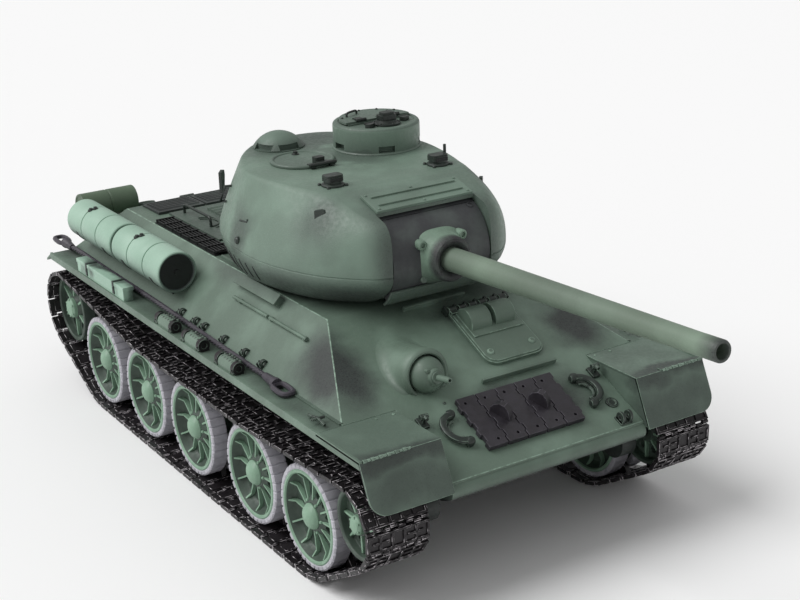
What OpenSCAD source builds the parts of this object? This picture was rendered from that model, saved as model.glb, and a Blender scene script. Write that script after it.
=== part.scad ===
// Radio-controlled tank, about 1:16, in millimetres.
// The gun points along -Y, the tank's right side is -X, and the tracks stand on z = 0.

/* [Running gear] */
// Radius of a road wheel over its tyre
wheel_r = 25.0; // [24.6:0.1:25.1]
// Height of the road wheel axles
wheel_z = 27.7; // [27.6:0.1:28.0]
// Distance from the tank's middle to the middle of a track
track_x = 79.5; // [78.5:0.1:80]
// Width of a track
track_w = 31; // [28:0.5:31]
// Thickness of a track link's plate
link_t = 2.4; // [2:0.1:2.5]
// Number of links in each track, an even number
link_count = 72; // [70:2:74]
// Radius of the rear sprocket's rims
sprocket_r = 20; // [18:0.5:20.5]
// Height of the sprocket's axle
sprocket_z = 45; // [44:0.5:46]
// Radius of the front idler
idler_r = 16.5; // [15:0.5:17]
// Height of the idler's axle
idler_z = 41; // [40:0.5:42]

/* [Hull] */
// Height of the belly plate's underside
belly_z = 25; // [23:0.5:26]
// Height of the fenders' top
fender_z = 77; // [76:0.5:78]
// Height of the hull roof
roof_z = 103; // [102:0.5:104]
// Distance from the middle to a fender's outer edge
fender_x = 93.6; // [92:0.1:94.5]
// Half width of the lower hull
tub_x = 53.6; // [52:0.1:53.6]
// Half width of the roof between the sloped sides
roof_x = 54; // [52:0.5:55]
// Half width of the upper hull where it meets the fenders
base_x = 81; // [79:0.5:82]
// Thickness of the moulded hull walls
wall = 2.4; // [2:0.1:2.6]

/* [Turret and gun] */
// Height of the turret's roof
turret_roof_z = 156.3; // [155:0.1:158]
// Height of the widest line of the casting
turret_wide_z = 122; // [120:0.5:123]
// Elevation of the gun as it rests
rest_elevation = 3.3; // [0:0.1:5]
// Length of the gun from the trunnion to the muzzle
gun_length = 207.3; // [190:0.1:215]
// Radius of the curved gun shield
shield_r = 22.3; // [21:0.1:22.4]
// Radius of the pellet bore, for 6 mm pellets
bore_r = 3.05; // [3:0.01:3.2]
// Radius of the commander's cupola
cupola_r = 22.6; // [21:0.1:22.8]
// Height of the cupola above the turret roof
cupola_h = 13.6; // [12:0.1:15]

/* [Hidden] */

$fn = 48;
hull_green = "#5d6f60";
dark_green = "#3d4842";
pale_green = "#8fb09a";
tyre_grey = "#6c6672";
track_black = "#2b2628";
steel_dark = "#3a363c";

eps = 0.01;
fit = 0.05;             // radial clearance of a shaft in its hole
gap = 0.4;              // clearance between moving skins

// Fore and aft places, measured from the middle of the road wheels
wheel_ys = [-117.5, -62.5, 2.5, 60, 117.5];
sprocket_y = 166.5;
idler_y = -158.5;
glacis_top_y = -80;
glacis_foot_y = -136.5;
nose_y = -178;
belly_front_y = -128;
belly_rear_y = 160;
tail_y = 188;
tail_z = 66;
deck_end_y = 152;
fender_end_y = 178;
mudguard_y = -172.3;
flap_foot_y = -182.3;
flap_foot_z = 55.1;
glacis_a = atan((roof_z - fender_z) / (glacis_top_y - glacis_foot_y));
nose_z = fender_z - (glacis_foot_y - nose_y) * tan(glacis_a);
tail_top_y = tail_y - (fender_z - tail_z) * (tail_y - deck_end_y) / (roof_z - tail_z);
side_a = atan((base_x - roof_x) / (roof_z - fender_z));

// Turret places, measured from the turret's axis
turret_y = -10.8;
trunnion_y = -63.5;
trunnion_z = 125.8;
turret_foot_z = 105.5;
shield_x = 27;
cheek_x = shield_x + 0.6;
cupola_at = [27.5, 14.6];
loader_at = [-19, 10.5];
loader_r = 16.5;
ring_neck_r = 44;

// The whole part is moved so that its footprint is centred on the origin
muzzle_r = 4.3;
muzzle_reach = gun_length * cos(rest_elevation) + muzzle_r * sin(rest_elevation);
front_reach = turret_y + trunnion_y - muzzle_reach;
rear_reach = 189.6;      // the tracks behind the sprockets
shift_y = -(front_reach + rear_reach) / 2;

module in_place() {
    translate([0, shift_y, 0]) children();
}

module both_sides() {
    children();
    mirror([1, 0, 0]) children();
}

// Extrudes an outline drawn as [y, z] between two x places
module along_x(x0, x1) {
    translate([x0, 0, 0]) rotate([90, 0, 90]) linear_extrude(x1 - x0) children();
}

// Extrudes an outline drawn as [x, z] between two y places
module along_y(y0, y1) {
    translate([0, y1, 0]) rotate([90, 0, 0]) linear_extrude(y1 - y0) children();
}

// A cylinder along X between two x places, through y and z
module axle(x0, x1, y, z, r) {
    translate([x0, y, z]) rotate([0, 90, 0]) cylinder(r = r, h = x1 - x0);
}

module block(low, high) {
    translate(low) cube(high - low);
}

// A straight round bar between two points with round ends
module rod(a, b, r) {
    d = b - a;
    tilt = acos(d[2] / norm(d));
    translate(a) rotate([0, tilt, atan2(d[1], d[0])]) cylinder(r = r, h = norm(d), $fn = 20);
    translate(a) sphere(r = r * 1.06, $fn = 20);
    translate(b) sphere(r = r * 1.06, $fn = 20);
}

// Frame on the glacis: x across, u down the slope from the roof, height above the plate
module on_glacis(x, u, h) {
    translate([0, glacis_top_y, roof_z]) rotate([glacis_a, 0, 0]) translate([x, -u, h]) children();
}

// Frame on the tank's right side plate: y along, v down the slope from the roof, height above it
module on_right_side(y, v, h) {
    translate([-roof_x, y, roof_z]) rotate([0, side_a - 90, 0]) translate([-v, 0, h]) children();
}

// ---- Lower hull ----

function tub_outline() = [
    [nose_y, nose_z - 3], [nose_y, nose_z - 6], [belly_front_y, belly_z], [belly_rear_y, belly_z],
    [tail_y, tail_z], [tail_top_y, fender_z - 1.2], [glacis_foot_y, fender_z - 3]
];

arm_back = 18.5;        // the wheel axle lies behind the arm's pivot
arm_drop = 7.5;
arm_pin_r = 2.0;
axle_r = 2.45;
shaft_r = 3.0;
door_y = [-50, 34];
door_x = 24;
screw_places = [[-40, -104], [40, -104], [-40, 122], [40, 122]];
switch_at = [36, 62];

module lower_hull() color(dark_green) in_place() difference() {
    union() {
        difference() {
            along_x(-tub_x, tub_x) polygon(tub_outline());
            along_x(-tub_x + wall, tub_x - wall) offset(delta = -wall) polygon(tub_outline());
            block(
                [-tub_x + wall, glacis_foot_y + 6, fender_z - 12],
                [tub_x - wall, tail_top_y - 4, fender_z]
            );
        }
        axle(-tub_x, tub_x, nose_y + 2.4, nose_z - 5.2, 2.6);
        both_sides() {
            axle(tub_x - wall, tub_x + 5, sprocket_y, sprocket_z, 12);
            axle(tub_x - wall, tub_x + 6, idler_y, idler_z, 8);
            axle(tub_x - wall, track_x + 8, idler_y, idler_z, axle_r);
            for (y = wheel_ys) axle(tub_x - 4, tub_x + 2, y - arm_back, wheel_z + arm_drop, 5);
        }
    }
    both_sides() {
        axle(tub_x - 6, tub_x + 6, sprocket_y, sprocket_z, shaft_r + fit);
        for (y = wheel_ys) {
            axle(tub_x - 6, tub_x + 3, y - arm_back, wheel_z + arm_drop, arm_pin_r + fit);
        }
    }
    block(
        [-door_x - gap, door_y[0] - gap, belly_z - 1],
        [door_x + gap, door_y[1] + gap, belly_z + wall + 1]
    );
    for (p = screw_places) translate([p[0], p[1], belly_z - 1]) cylinder(r = 1.7, h = wall + 2);
    block(
        [switch_at[0] - 2.4, switch_at[1] - 4.4, belly_z - 1],
        [switch_at[0] + 2.4, switch_at[1] + 4.4, belly_z + wall + 1]
    );
}

module hull_screws() color("silver") in_place() {
    for (p = screw_places) {
        translate([p[0], p[1], belly_z - 1.4]) difference() {
            union() {
                cylinder(r = 3, h = 1.4);
                cylinder(r = 1.5, h = 12);
            }
            block([-2.2, -0.4, -1], [2.2, 0.4, 0.6]);
        }
    }
}

module battery_door() color(dark_green) in_place() {
    block([-door_x, door_y[0], belly_z], [door_x, door_y[1], belly_z + 1.8]);
    block([-8, door_y[1] - 12, belly_z - 1], [8, door_y[1] - 9, belly_z]);
}

module battery_pack() color("royalblue") in_place() {
    for (x = [-23.5, 0, 23.5], y = [-53, -7]) {
        translate([x, y, belly_z + 15]) rotate([-90, 0, 0]) cylinder(r = 11.4, h = 45);
    }
}

module control_board() color("darkolivegreen") in_place() {
    block([-34, 62, 56], [34, 118, 57.6]);
    block([-20, 72, 57.6], [-4, 88, 61]);
    block([6, 70, 57.6], [26, 84, 64]);
    block([-24, 98, 57.6], [24, 108, 66]);
    for (x = [-30, 30], y = [66, 114]) {
        translate([x, y, belly_z + wall]) cylinder(r = 2.2, h = 56 - belly_z - wall);
    }
}

module speaker() color("dimgray") in_place() {
    translate([0, -92, belly_z + wall]) {
        cylinder(r = 19, h = 4);
        translate([0, 0, 4]) cylinder(r = 12, h = 9);
    }
}

module power_switch() color("black") in_place() {
    translate([switch_at[0], switch_at[1], belly_z]) block([-1.6, -3.8, -1.6], [1.6, -0.8, 2.2]);
}

module gearboxes() color("gainsboro") in_place() both_sides() {
    block([30, 136, 43], [tub_x - wall - 2.5, 168, 64]);
    translate([40, 135.9, 54]) rotate([90, 0, 0]) cylinder(r = 8, h = 16);
}

// ---- Upper hull ----

module hull_shape(inset) {
    intersection() {
        along_x(-base_x, base_x) offset(delta = -inset) polygon([
            [glacis_top_y, roof_z], [glacis_foot_y, fender_z],
            [tail_top_y, fender_z], [deck_end_y, roof_z]
        ]);
        along_y(glacis_foot_y - 2, tail_top_y + 2) offset(delta = -inset) polygon([
            [-roof_x, roof_z], [-base_x, fender_z], [base_x, fender_z], [roof_x, roof_z]
        ]);
    }
}

mg_at = [-32.5, -129, 86.4];
mg_ball_r = 8.4;
mg_tilt = 10;           // the housing looks this far above the horizon

module along_mg() {
    translate(mg_at) rotate([90 - mg_tilt, 0, 0]) children();
}

module upper_hull() color(hull_green) in_place() difference() {
    union() {
        hull_shape(0);
        along_x(-tub_x, tub_x) polygon([
            [glacis_foot_y + 1, fender_z + tan(glacis_a)], [nose_y, nose_z],
            [nose_y, nose_z - 3], [glacis_foot_y + 1, fender_z - 3 + tan(glacis_a)]
        ]);
        along_mg() translate([0, 0, -21]) cylinder(r = 12.2, h = 24);
        on_glacis(1, 6.5, 0) block([-17.5, -0.6, -1], [17.5, 0.6, 2.4]);
        on_glacis(14.5, 61, 0) block([-21, -0.6, -1], [21, 0.6, 2.4]);
        both_sides() block([roof_x - 3.4, -32, roof_z - 1], [roof_x - 2.2, 34, roof_z + 1.6]);
    }
    hull_shape(wall);
    block(
        [-base_x + 4, glacis_foot_y + 8, fender_z - 1],
        [base_x - 4, tail_top_y - 4, fender_z + wall + 1]
    );
    translate([0, turret_y, roof_z - 5]) cylinder(r = ring_neck_r + gap, h = 10);
    along_mg() translate([0, 0, -40]) cylinder(r = mg_ball_r + gap, h = 50);
    block([-30, 66, roof_z - 5], [30, 118, roof_z + 5]);
}

// ---- Fenders and mudguards ----

module fenders() color(hull_green) in_place() both_sides() {
    block([tub_x, glacis_foot_y, fender_z - 1.2], [fender_x, fender_end_y, fender_z]);
    block([fender_x - 1, glacis_foot_y, fender_z - 3.4], [fender_x, fender_end_y, fender_z - 1.2]);
    along_x(tub_x + 6, fender_x) polygon([
        [fender_end_y, fender_z], [fender_end_y + 8, fender_z - 5], [fender_end_y + 8, fender_z - 6.2],
        [fender_end_y, fender_z - 1.2]
    ]);
}

module front_mudguards() color(dark_green) in_place() both_sides() {
    block([tub_x, mudguard_y, fender_z - 1.2], [fender_x, glacis_foot_y, fender_z]);
    difference() {
        along_x(tub_x, fender_x) polygon([
            [mudguard_y, fender_z], [flap_foot_y, flap_foot_z], [flap_foot_y + 1.2, flap_foot_z],
            [mudguard_y, fender_z - 3]
        ]);
        translate([fender_x, 0, flap_foot_z]) rotate([90, 0, 0]) difference() {
            translate([-8, -1, 170]) cube([9, 9, 20]);
            translate([-8, 8, 169]) cylinder(r = 8.2, h = 22);
        }
    }
    along_x(tub_x, tub_x + 1.2) polygon([
        [glacis_foot_y, fender_z - 0.6], [mudguard_y - 0.5, fender_z - 0.6],
        [flap_foot_y + 0.6, flap_foot_z + 0.5], [nose_y, nose_z - 3]
    ]);
}

// ---- Engine deck and tail ----

deck_t = 1.4;           // the turret's foot passes over the covers
grille_y = [40, 112];

module engine_deck() color(hull_green) in_place() {
    difference() {
        block([-40, 60, roof_z], [40, 124, roof_z + deck_t]);
        block([-25, 70, roof_z + 1], [25, 114, roof_z + 5]);
    }
    block([-24.6, 70.4, roof_z + 1], [24.6, 113.6, roof_z + deck_t + 0.8]);
    for (i = [0 : 6]) {
        block([-20, 76 + i * 5, roof_z + deck_t + 0.8], [20, 78 + i * 5, roof_z + deck_t + 2]);
    }
    along_x(-44, 44) polygon([
        [126, roof_z], [126, roof_z + deck_t], [deck_end_y - 4, roof_z + 1], [deck_end_y - 4, roof_z]
    ]);
    both_sides() {
        for (x = [42.2 : 2.2 : 51]) {
            block([x, grille_y[0], roof_z + 0.2], [x + 1, grille_y[1], roof_z + 1.6]);
        }
        for (y = [grille_y[0] : 11.8 : grille_y[1]]) {
            block([41.6, y, roof_z], [52.6, y + 1.2, roof_z + 1]);
        }
    }
}

tail_a = atan((roof_z - tail_z) / (tail_y - deck_end_y));

module rear_panel() color(hull_green) in_place() {
    translate([0, deck_end_y, roof_z]) rotate([-tail_a, 0, 0]) {
        translate([0, 24, 0]) cylinder(r = 14, h = 1.6);
        translate([0, 24, 1.6]) cylinder(r = 10.5, h = 1.2);
        for (x = [-33, 33]) {
            translate([x, 24, 0]) cylinder(r = 8.5, h = 2.4);
            translate([x, 24, 3.3]) rotate([35, 0, 0]) difference() {
                cylinder(r = 5.4, h = 9);
                translate([0, 0, 4]) cylinder(r = 4.2, h = 9);
            }
        }
        for (x = [-14, 14]) block([x - 4, 2, 0], [x + 4, 5, 2.6]);
    }
}

canister_at = [18.9, 16.5];
canister_r = 8.2;

module smoke_canisters() color(dark_green) in_place() both_sides() {
    translate([0, deck_end_y, roof_z]) rotate([-tail_a, 0, 0]) {
        difference() {
            axle(-73, -39.2, canister_at[0], canister_at[1], canister_r);
            difference() {
                axle(-56.6, -55.8, canister_at[0], canister_at[1], canister_r + 1);
                axle(-57, -55, canister_at[0], canister_at[1], canister_r - 0.4);
            }
        }
        axle(-73.6, -73, canister_at[0], canister_at[1], canister_r - 1.2);
        for (x = [-64, -48]) {
            block([x - 1.5, canister_at[0] - 2.5, 0], [x + 1.5, canister_at[0] + 2.5, canister_at[1]]);
        }
    }
}

// ---- Fittings on the glacis ----

hatch_x = 19.5;
hatch_u = 15.5;
hatch_w = 33;
hatch_l = 38;

module driver_hatch() color(hull_green) in_place() on_glacis(hatch_x, hatch_u, 0.1) {
    linear_extrude(2.2) {
        translate([-hatch_w / 2, -hatch_l + 6]) square([hatch_w, hatch_l - 6]);
        translate([-hatch_w / 2 + 6, -hatch_l]) square([hatch_w - 12, 7]);
        for (x = [-1, 1]) translate([x * (hatch_w / 2 - 6), -hatch_l + 6]) circle(r = 6);
    }
    block([-hatch_w / 2, -20, 2.2], [hatch_w / 2, -2, 3]);
    for (x = [-8, 6]) {
        intersection() {
            axle(x - 5.6, x + 5.6, -3.4, 0, 10.5);
            block([-20, -15, 2.2], [20, -3.4, 12]);
        }
    }
    for (x = [-12, 12]) translate([x, -31, 2.2]) cylinder(r = 2.2, h = 0.8);
    for (x = [-14 : 7 : 14]) axle(x - 2.4, x + 2.4, -0.6, 2.4, 1.5);
}

module mg_ball() color(hull_green) in_place() translate(mg_at) {
    sphere(r = mg_ball_r);
    rotate([90, 0, 0]) cylinder(r = 2.6, h = 12);
    rotate([90, 0, 0]) cylinder(r = 1.3, h = 20);
}

// A towing shackle that lies on the plate
module shackle() {
    difference() {
        translate([0, 0, 1.2]) cylinder(r = 7, h = 2.6);
        translate([0, 0, 0]) cylinder(r = 4.6, h = 6);
        block([-8, 3, 0], [8, 9, 6]);
    }
    block([-7, 2.4, 0], [-4, 6.4, 4.2]);
    block([4, 2.4, 0], [7, 6.4, 4.2]);
}

module hook_post() {
    block([-2, -3, 0], [2, 3, 3]);
    axle(-2, 2, 0, 4, 2.2);
}

module glacis_fittings() color(dark_green) in_place() {
    for (x = [-38.5, 42]) on_glacis(x, 79, 0) shackle();
    for (x = [-46.5, 49.2]) on_glacis(x, 73.5, 0) hook_post();
    on_glacis(46, 93, 0) cylinder(r = 3, h = 2);
    on_glacis(44.5, 104, 0) difference() {
        block([-3, -2.6, 0], [3, 2.6, 4.6]);
        axle(-4, 4, 0, 2.9, 1.1);
    }
}

spare_u = 83;
link_pitch_flat = 10.7;

module spare_links() color(steel_dark) in_place() {
    for (i = [-2 : 2]) {
        on_glacis(i * link_pitch_flat, spare_u, 0.3) {
            block([-5.1, -14.5, 0], [5.1, 14.5, 2.4]);
            if (abs(i) == 1) block([-2.2, -1.5, 2.4], [2.2, 1.5, 9]);
        }
    }
}

// ---- Stowage on the fenders ----

cable_r = 1.3;
cable_route = [[-84.4, 164, 82], [-82.6, 60, 80.4], [-84.2, -78, 79.9]];
clamp_ys = [28.5, 12, -2, -20, -42, -60];

module cable_eye(at, turn) {
    translate(at) rotate([0, 0, turn]) {
        difference() {
            translate([0, 6, -1.3]) cylinder(r = 4.8, h = 2.6);
            translate([0, 6, -2]) cylinder(r = 2.7, h = 4);
        }
        rotate([-90, 0, 0]) cylinder(r = 2, h = 2.2);
    }
}

module cable_run() {
    for (i = [0 : len(cable_route) - 2]) rod(cable_route[i], cable_route[i + 1], cable_r);
    cable_eye(cable_route[0], 5);
    cable_eye(cable_route[len(cable_route) - 1], 180);
}

module tow_cables() color(steel_dark) in_place() {
    cable_run();
    mirror([1, 0, 0]) cable_run();
    both_sides() {
        for (y = clamp_ys) {
            block([-86.3, y - 1.2, fender_z], [-81.1, y + 1.2, fender_z + 1.5]);
        }
    }
}

grouser_ys = [21, -11, -48];

module grousers() color(steel_dark) in_place() both_sides() {
    for (y = grouser_ys) {
        block([-92.6, y - 7, fender_z], [-87.4, y + 7, fender_z + 4.6]);
        for (s = [-1, 1]) {
            block([-93.2, y + s * 8.6 - 1.2, fender_z], [-86.8, y + s * 8.6 + 1.2, fender_z + 6.2]);
        }
    }
}

module stowage_box() color(pale_green) in_place() {
    difference() {
        block([-93.2, 71, fender_z], [-86.2, 136, fender_z + 7.6]);
        for (y = [84, 122]) block([-94, y - 1.4, fender_z - 1], [-92.9, y + 1.4, fender_z + 9]);
    }
    for (y = [84, 122]) block([-92.8, y - 1.2, fender_z + 7.6], [-86.4, y + 1.2, fender_z + 8.2]);
}

tank_r = 11;
tank_at = [-75.4, 98.8];

// One fuel drum between two y places, with its two saddles
module fuel_drum(y0, y1) {
    third = (y1 - y0) / 3;
    difference() {
        along_y(y0, y1) translate(tank_at) circle(r = tank_r);
        for (y = [y0 + third, y1 - third]) {
            along_y(y - 0.5, y + 0.5) translate(tank_at) difference() {
                circle(r = tank_r + 1);
                circle(r = tank_r - 0.5);
            }
        }
    }
    translate([tank_at[0] - 2, (y0 + y1) / 2 + 8, tank_at[1] + tank_r - 0.8]) cylinder(r = 2.2, h = 1.4);
    for (y = [y0 + 12, y1 - 12]) {
        difference() {
            block([tank_at[0] + 1, y - 1.5, fender_z + 6], [tank_at[0] + 9, y + 1.5, tank_at[1]]);
            along_y(y - 2, y + 2) translate(tank_at) circle(r = tank_r);
            hull_shape(0);
        }
    }
}

module fuel_tanks() color(pale_green) in_place() {
    fuel_drum(38, 99);
    fuel_drum(102, 164);
    mirror([1, 0, 0]) fuel_drum(102, 164);
}

// A grab rail along Y with two bent feet
module grab_rail(x, y0, y1, z, lift) {
    rod([x, y0, z + lift], [x, y1, z + lift], 0.7);
    for (y = [y0, y1]) rod([x, y, z], [x, y, z + lift], 0.7);
}

module handrails() color(dark_green) in_place() {
    difference() {
        both_sides() grab_rail(-33, 84, 118, roof_z + deck_t, 5);
        block([-60, 0, roof_z - 5], [60, 200, roof_z + deck_t]);
    }
    on_right_side(-20, 4, 0) block([0, -21, 0], [2.8, 21, 3.4]);
    on_right_side(-41, 13, 0) rod([0, -37, 1.4], [0, 37, 1.4], 0.8);
    mirror([1, 0, 0]) on_right_side(-30, 10, 0) rod([0, -40, 1.4], [0, 40, 1.4], 0.8);
}

// ---- Turret ----

// Half outlines of the casting seen from above, from the front middle to the rear middle
foot_half = [
    [0, -71], [26, -68], [42, -55], [52, -35], [57, -12],
    [57, 8], [51, 26], [40, 42], [24, 54], [0, 58]
];
wide_half = [
    [0, -86.5], [28, -86], [43, -76], [57, -55], [65, -25],
    [64, 5], [57, 32], [44, 57], [27, 74], [0, 78]
];
roof_half = [
    [0, -50], [24, -49.6], [38, -48.6], [44, -34], [49, -14],
    [51, 8], [46, 26], [35, 45], [20, 60], [0, 64]
];
// How late each line of the casting turns inwards below the roof, from front to rear
shoulder = [6, 6, 3.2, 1.6, 1.1, 1.05, 1.05, 1.15, 1.3, 1.3];

half_n = len(foot_half);
ring_n = 2 * half_n - 2;
turret_levels = [0, 0.45, 0.8, 1, 1.2, 1.4, 1.6, 1.75, 1.87, 2];

function mix(a, b, t) = a + (b - a) * t;

// A point of the casting: level 0 is the foot, 1 the widest line, 2 the roof
function half_point(i, level) = level < 1
    ? mix(wide_half[i], foot_half[i], pow(1 - level, 2))
    : mix(wide_half[i], roof_half[i], pow(level - 1, shoulder[i]));

function level_z(level) = level < 1
    ? mix(turret_foot_z, turret_wide_z, level)
    : mix(turret_wide_z, turret_roof_z, level - 1);

function ring_point(k, level, inset) = let (
    left = k < half_n,
    i = left ? k : ring_n - k,
    p = half_point(i, level),
    q = p * (1 - inset / norm(p))
) [left ? q[0] : -q[0], q[1], level_z(level) - (level == 2 ? inset : 0)];

module casting(inset) {
    points = [for (level = turret_levels, k = [0 : ring_n - 1]) ring_point(k, level, inset)];
    rows = len(turret_levels);
    sides = [for (r = [0 : rows - 2], k = [0 : ring_n - 1]) each let (
        a = r * ring_n + k,
        b = r * ring_n + (k + 1) % ring_n,
        c = b + ring_n,
        d = a + ring_n
    ) [[a, c, b], [a, d, c]]];
    foot = [for (k = [0 : ring_n - 1]) k];
    top = [for (k = [ring_n - 1 : -1 : 0]) (rows - 1) * ring_n + k];
    polyhedron(points = points, faces = concat(sides, [foot], [top]));
}

module on_turret() {
    translate([0, turret_y, 0]) children();
}

brow_y = -49;
brow_a = 16.7;

// The casting below its sloped brow, with its surface moved inwards
module hollow(inset) {
    difference() {
        casting(inset);
        translate([0, brow_y, turret_roof_z - inset]) rotate([brow_a, 0, 0]) {
            block([-80, -60, 0], [80, 0, 30]);
        }
    }
}

module shield_opening() {
    along_x(-cheek_x, cheek_x) polygon([
        [-110, turret_foot_z - 1], [-110, 170], [-72.2, 170], [-72.2, 147.6], [-64, 149.6], [-42, 149.6],
        [-42, turret_foot_z + 8], [-62, turret_foot_z - 1]
    ]);
}

// The lower lip that the curved shield slides behind
module shield_lip() {
    along_x(-cheek_x - 0.5, cheek_x + 0.5) intersection() {
        translate([trunnion_y, trunnion_z]) difference() {
            circle(r = shield_r + 2);
            circle(r = shield_r + 0.4);
        }
        translate([-90, turret_foot_z]) square([18, 4.4]);
    }
}

module turret_shell() color(hull_green) in_place() on_turret() {
    difference() {
        union() {
            difference() {
                hollow(0);
                hollow(2.6);
                translate([0, 0, turret_foot_z - 1]) cylinder(r = 40, h = 6);
            }
            intersection() {
                hollow(1);
                both_sides() {
                    block([cheek_x, -100, turret_foot_z + 4], [cheek_x + 2.4, -44, turret_roof_z - 2]);
                }
            }
        }
        shield_opening();
        translate([cupola_at[0], cupola_at[1], 140]) cylinder(r = cupola_r, h = 30);
        translate([loader_at[0], loader_at[1], 140]) cylinder(r = loader_r - 1.5, h = 30);
    }
    shield_lip();
}

ring_teeth = 72;
pinion_teeth = 12;
tooth_m = 1;

// Outline with straight-sided teeth between a root and a tip radius
module gear_outline(teeth, root_r, tip_r, root_w, tip_w) {
    step = 360 / teeth;
    polygon([for (i = [0 : teeth - 1]) each let (a = i * step) [
        root_r * [cos(a - step * root_w / 2), sin(a - step * root_w / 2)],
        tip_r * [cos(a - step * tip_w / 2), sin(a - step * tip_w / 2)],
        tip_r * [cos(a + step * tip_w / 2), sin(a + step * tip_w / 2)],
        root_r * [cos(a + step * root_w / 2), sin(a + step * root_w / 2)]
    ]]);
}

ring_pitch_r = ring_teeth * tooth_m / 2;
pinion_pitch_r = pinion_teeth * tooth_m / 2;

module turret_ring() color("darkgray") in_place() on_turret() {
    translate([0, 0, roof_z + 0.4]) difference() {
        cylinder(r = 50, h = turret_foot_z - roof_z - 0.4);
        translate([0, 0, -1]) cylinder(r = 39, h = 5);
    }
    translate([0, 0, 96.5]) difference() {
        cylinder(r = ring_neck_r, h = roof_z + 0.4 - 96.5);
        translate([0, 0, 3.5]) cylinder(r = 39, h = 8);
        translate([0, 0, -1]) linear_extrude(5) {
            rotate([0, 0, 90]) {
                gear_outline(ring_teeth, ring_pitch_r - 0.7, ring_pitch_r + 1.1, 0.82, 0.52);
            }
        }
    }
}

pinion_y = ring_pitch_r - pinion_pitch_r;

module turret_pinion() color("gold") in_place() on_turret() translate([0, pinion_y, 0]) {
    translate([0, 0, 97]) linear_extrude(3) {
        rotate([0, 0, 90]) {
            gear_outline(pinion_teeth, pinion_pitch_r - 1.1, pinion_pitch_r + 0.6, 0.52, 0.2);
        }
    }
    translate([0, 0, 90]) cylinder(r = 1.5, h = 7);
}

module turret_motor() color("silver") in_place() on_turret() {
    translate([0, pinion_y, 0]) {
        difference() {
            union() {
                translate([0, 0, 66]) cylinder(r = 11, h = 27);
                block([-7, 0, 93], [7, 28, 95]);
            }
            translate([0, 0, 88]) cylinder(r = 1.5 + fit, h = 10);
        }
        block([-7, 20, 95], [7, 28, roof_z - wall]);
    }
}

module along_gun() {
    translate([0, trunnion_y, trunnion_z]) rotate([90 - rest_elevation, 0, 0]) children();
}

module mantlet() color(dark_green) in_place() on_turret() difference() {
    union() {
        difference() {
            axle(-shield_x, shield_x, trunnion_y, trunnion_z, shield_r);
            axle(-shield_x + 2.4, shield_x - 2.4, trunnion_y, trunnion_z, shield_r - 2.6);
            block([-40, trunnion_y, 90], [40, trunnion_y + 30, 160]);
            translate([0, trunnion_y, trunnion_z]) rotate([50, 0, 0]) {
                block([-40, -40, -60], [40, 40, 0]);
            }
        }
        along_gun() translate([0, 0, shield_r - 4]) {
            cylinder(r = 11, h = 6);
            cylinder(r = 9.2, h = 9.8);
        }
    }
    along_gun() cylinder(r = 5.7, h = 60);
}

module gun_barrel() color(hull_green) in_place() on_turret() along_gun() rotate_extrude() polygon([
    [bore_r, 8], [5.7, 8], [5.7, 60], [4.9, 130], [muzzle_r, gun_length], [bore_r, gun_length]
]);

module mantlet_cover() color(hull_green) in_place() on_turret() {
    translate([0, brow_y, turret_roof_z]) rotate([brow_a, 0, 0]) {
        block([-26.8, -24.4, 0.1], [26.8, -9, 1.5]);
        for (y = [-20, -13]) block([-22, y - 0.5, 1.5], [22, y + 0.5, 2.3]);
        for (x = [-24.6, 24.6], y = [-22.6, -10.8]) translate([x, y, 1.5]) cylinder(r = 0.9, h = 0.7);
    }
}

slot_h = 3;

module cupola() color(hull_green) in_place() on_turret() translate(cupola_at) {
    difference() {
        translate([0, 0, turret_roof_z - 4]) cylinder(r = cupola_r, h = cupola_h + 4);
        translate([0, 0, turret_roof_z - 5]) cylinder(r = cupola_r - 3, h = cupola_h + 3);
        intersection() {
            translate([0, 0, turret_roof_z]) cylinder(r = cupola_r - 5.5, h = 20);
            block([-30, -2, turret_roof_z], [30, 30, turret_roof_z + 30]);
        }
        for (a = [0 : 72 : 288]) rotate([0, 0, a - 108]) {
            translate([0, 0, turret_roof_z + 1.4]) block([cupola_r - 5, -4, 0], [cupola_r + 1, 4, slot_h]);
        }
    }
    translate([0, -9, turret_roof_z + cupola_h]) {
        cylinder(r = 5, h = 1.2);
        block([-4, -3, 1.2], [4, 3, 5]);
    }
    block([9, -12, turret_roof_z + cupola_h], [15, -9, turret_roof_z + cupola_h + 2]);
}

lid_z = turret_roof_z + cupola_h + 0.15;
lid_split = -2.4;

module cupola_hatch() color(hull_green) in_place() on_turret() {
    translate([cupola_at[0], cupola_at[1], lid_z]) cupola_lid();
}

module cupola_lid() {
    intersection() {
        cylinder(r = cupola_r - 3.4, h = 1.4);
        block([-30, lid_split + 0.2, 0], [30, 30, 3]);
    }
    for (x = [-10, 10]) axle(x - 3, x + 3, lid_split + 0.6, 1.4, 1);
    rod([-9, 11, 2.6], [-2, 13, 2.6], 0.6);
    rod([-9, 11, 1.4], [-9, 11, 2.6], 0.6);
    rod([-2, 13, 1.4], [-2, 13, 2.6], 0.6);
}

module loader_hatch() color(hull_green) in_place() on_turret() {
    translate([loader_at[0], loader_at[1], turret_roof_z + 0.15]) {
        cylinder(r = loader_r, h = 1.2);
        translate([0, 0, 1.2]) difference() {
            cylinder(r = loader_r, h = 0.6);
            translate([0, 0, -1]) cylinder(r = loader_r - 1.6, h = 3);
        }
        block([-4, -loader_r - 1.2, 0], [4, -loader_r + 5, 2.4]);
        axle(-6, 6, -loader_r - 1, 1.8, 1.4);
        translate([2, loader_r - 4, 1.2]) cylinder(r = 1.8, h = 1.4);
    }
}

dome_r = 15.76;
dome_h = 7.8;
dome_at = [13, 45.5];

module roof_periscope() {
    cylinder(r = 5, h = 1);
    block([-3.6, -3, 1], [3.6, 3, 5]);
}

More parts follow.
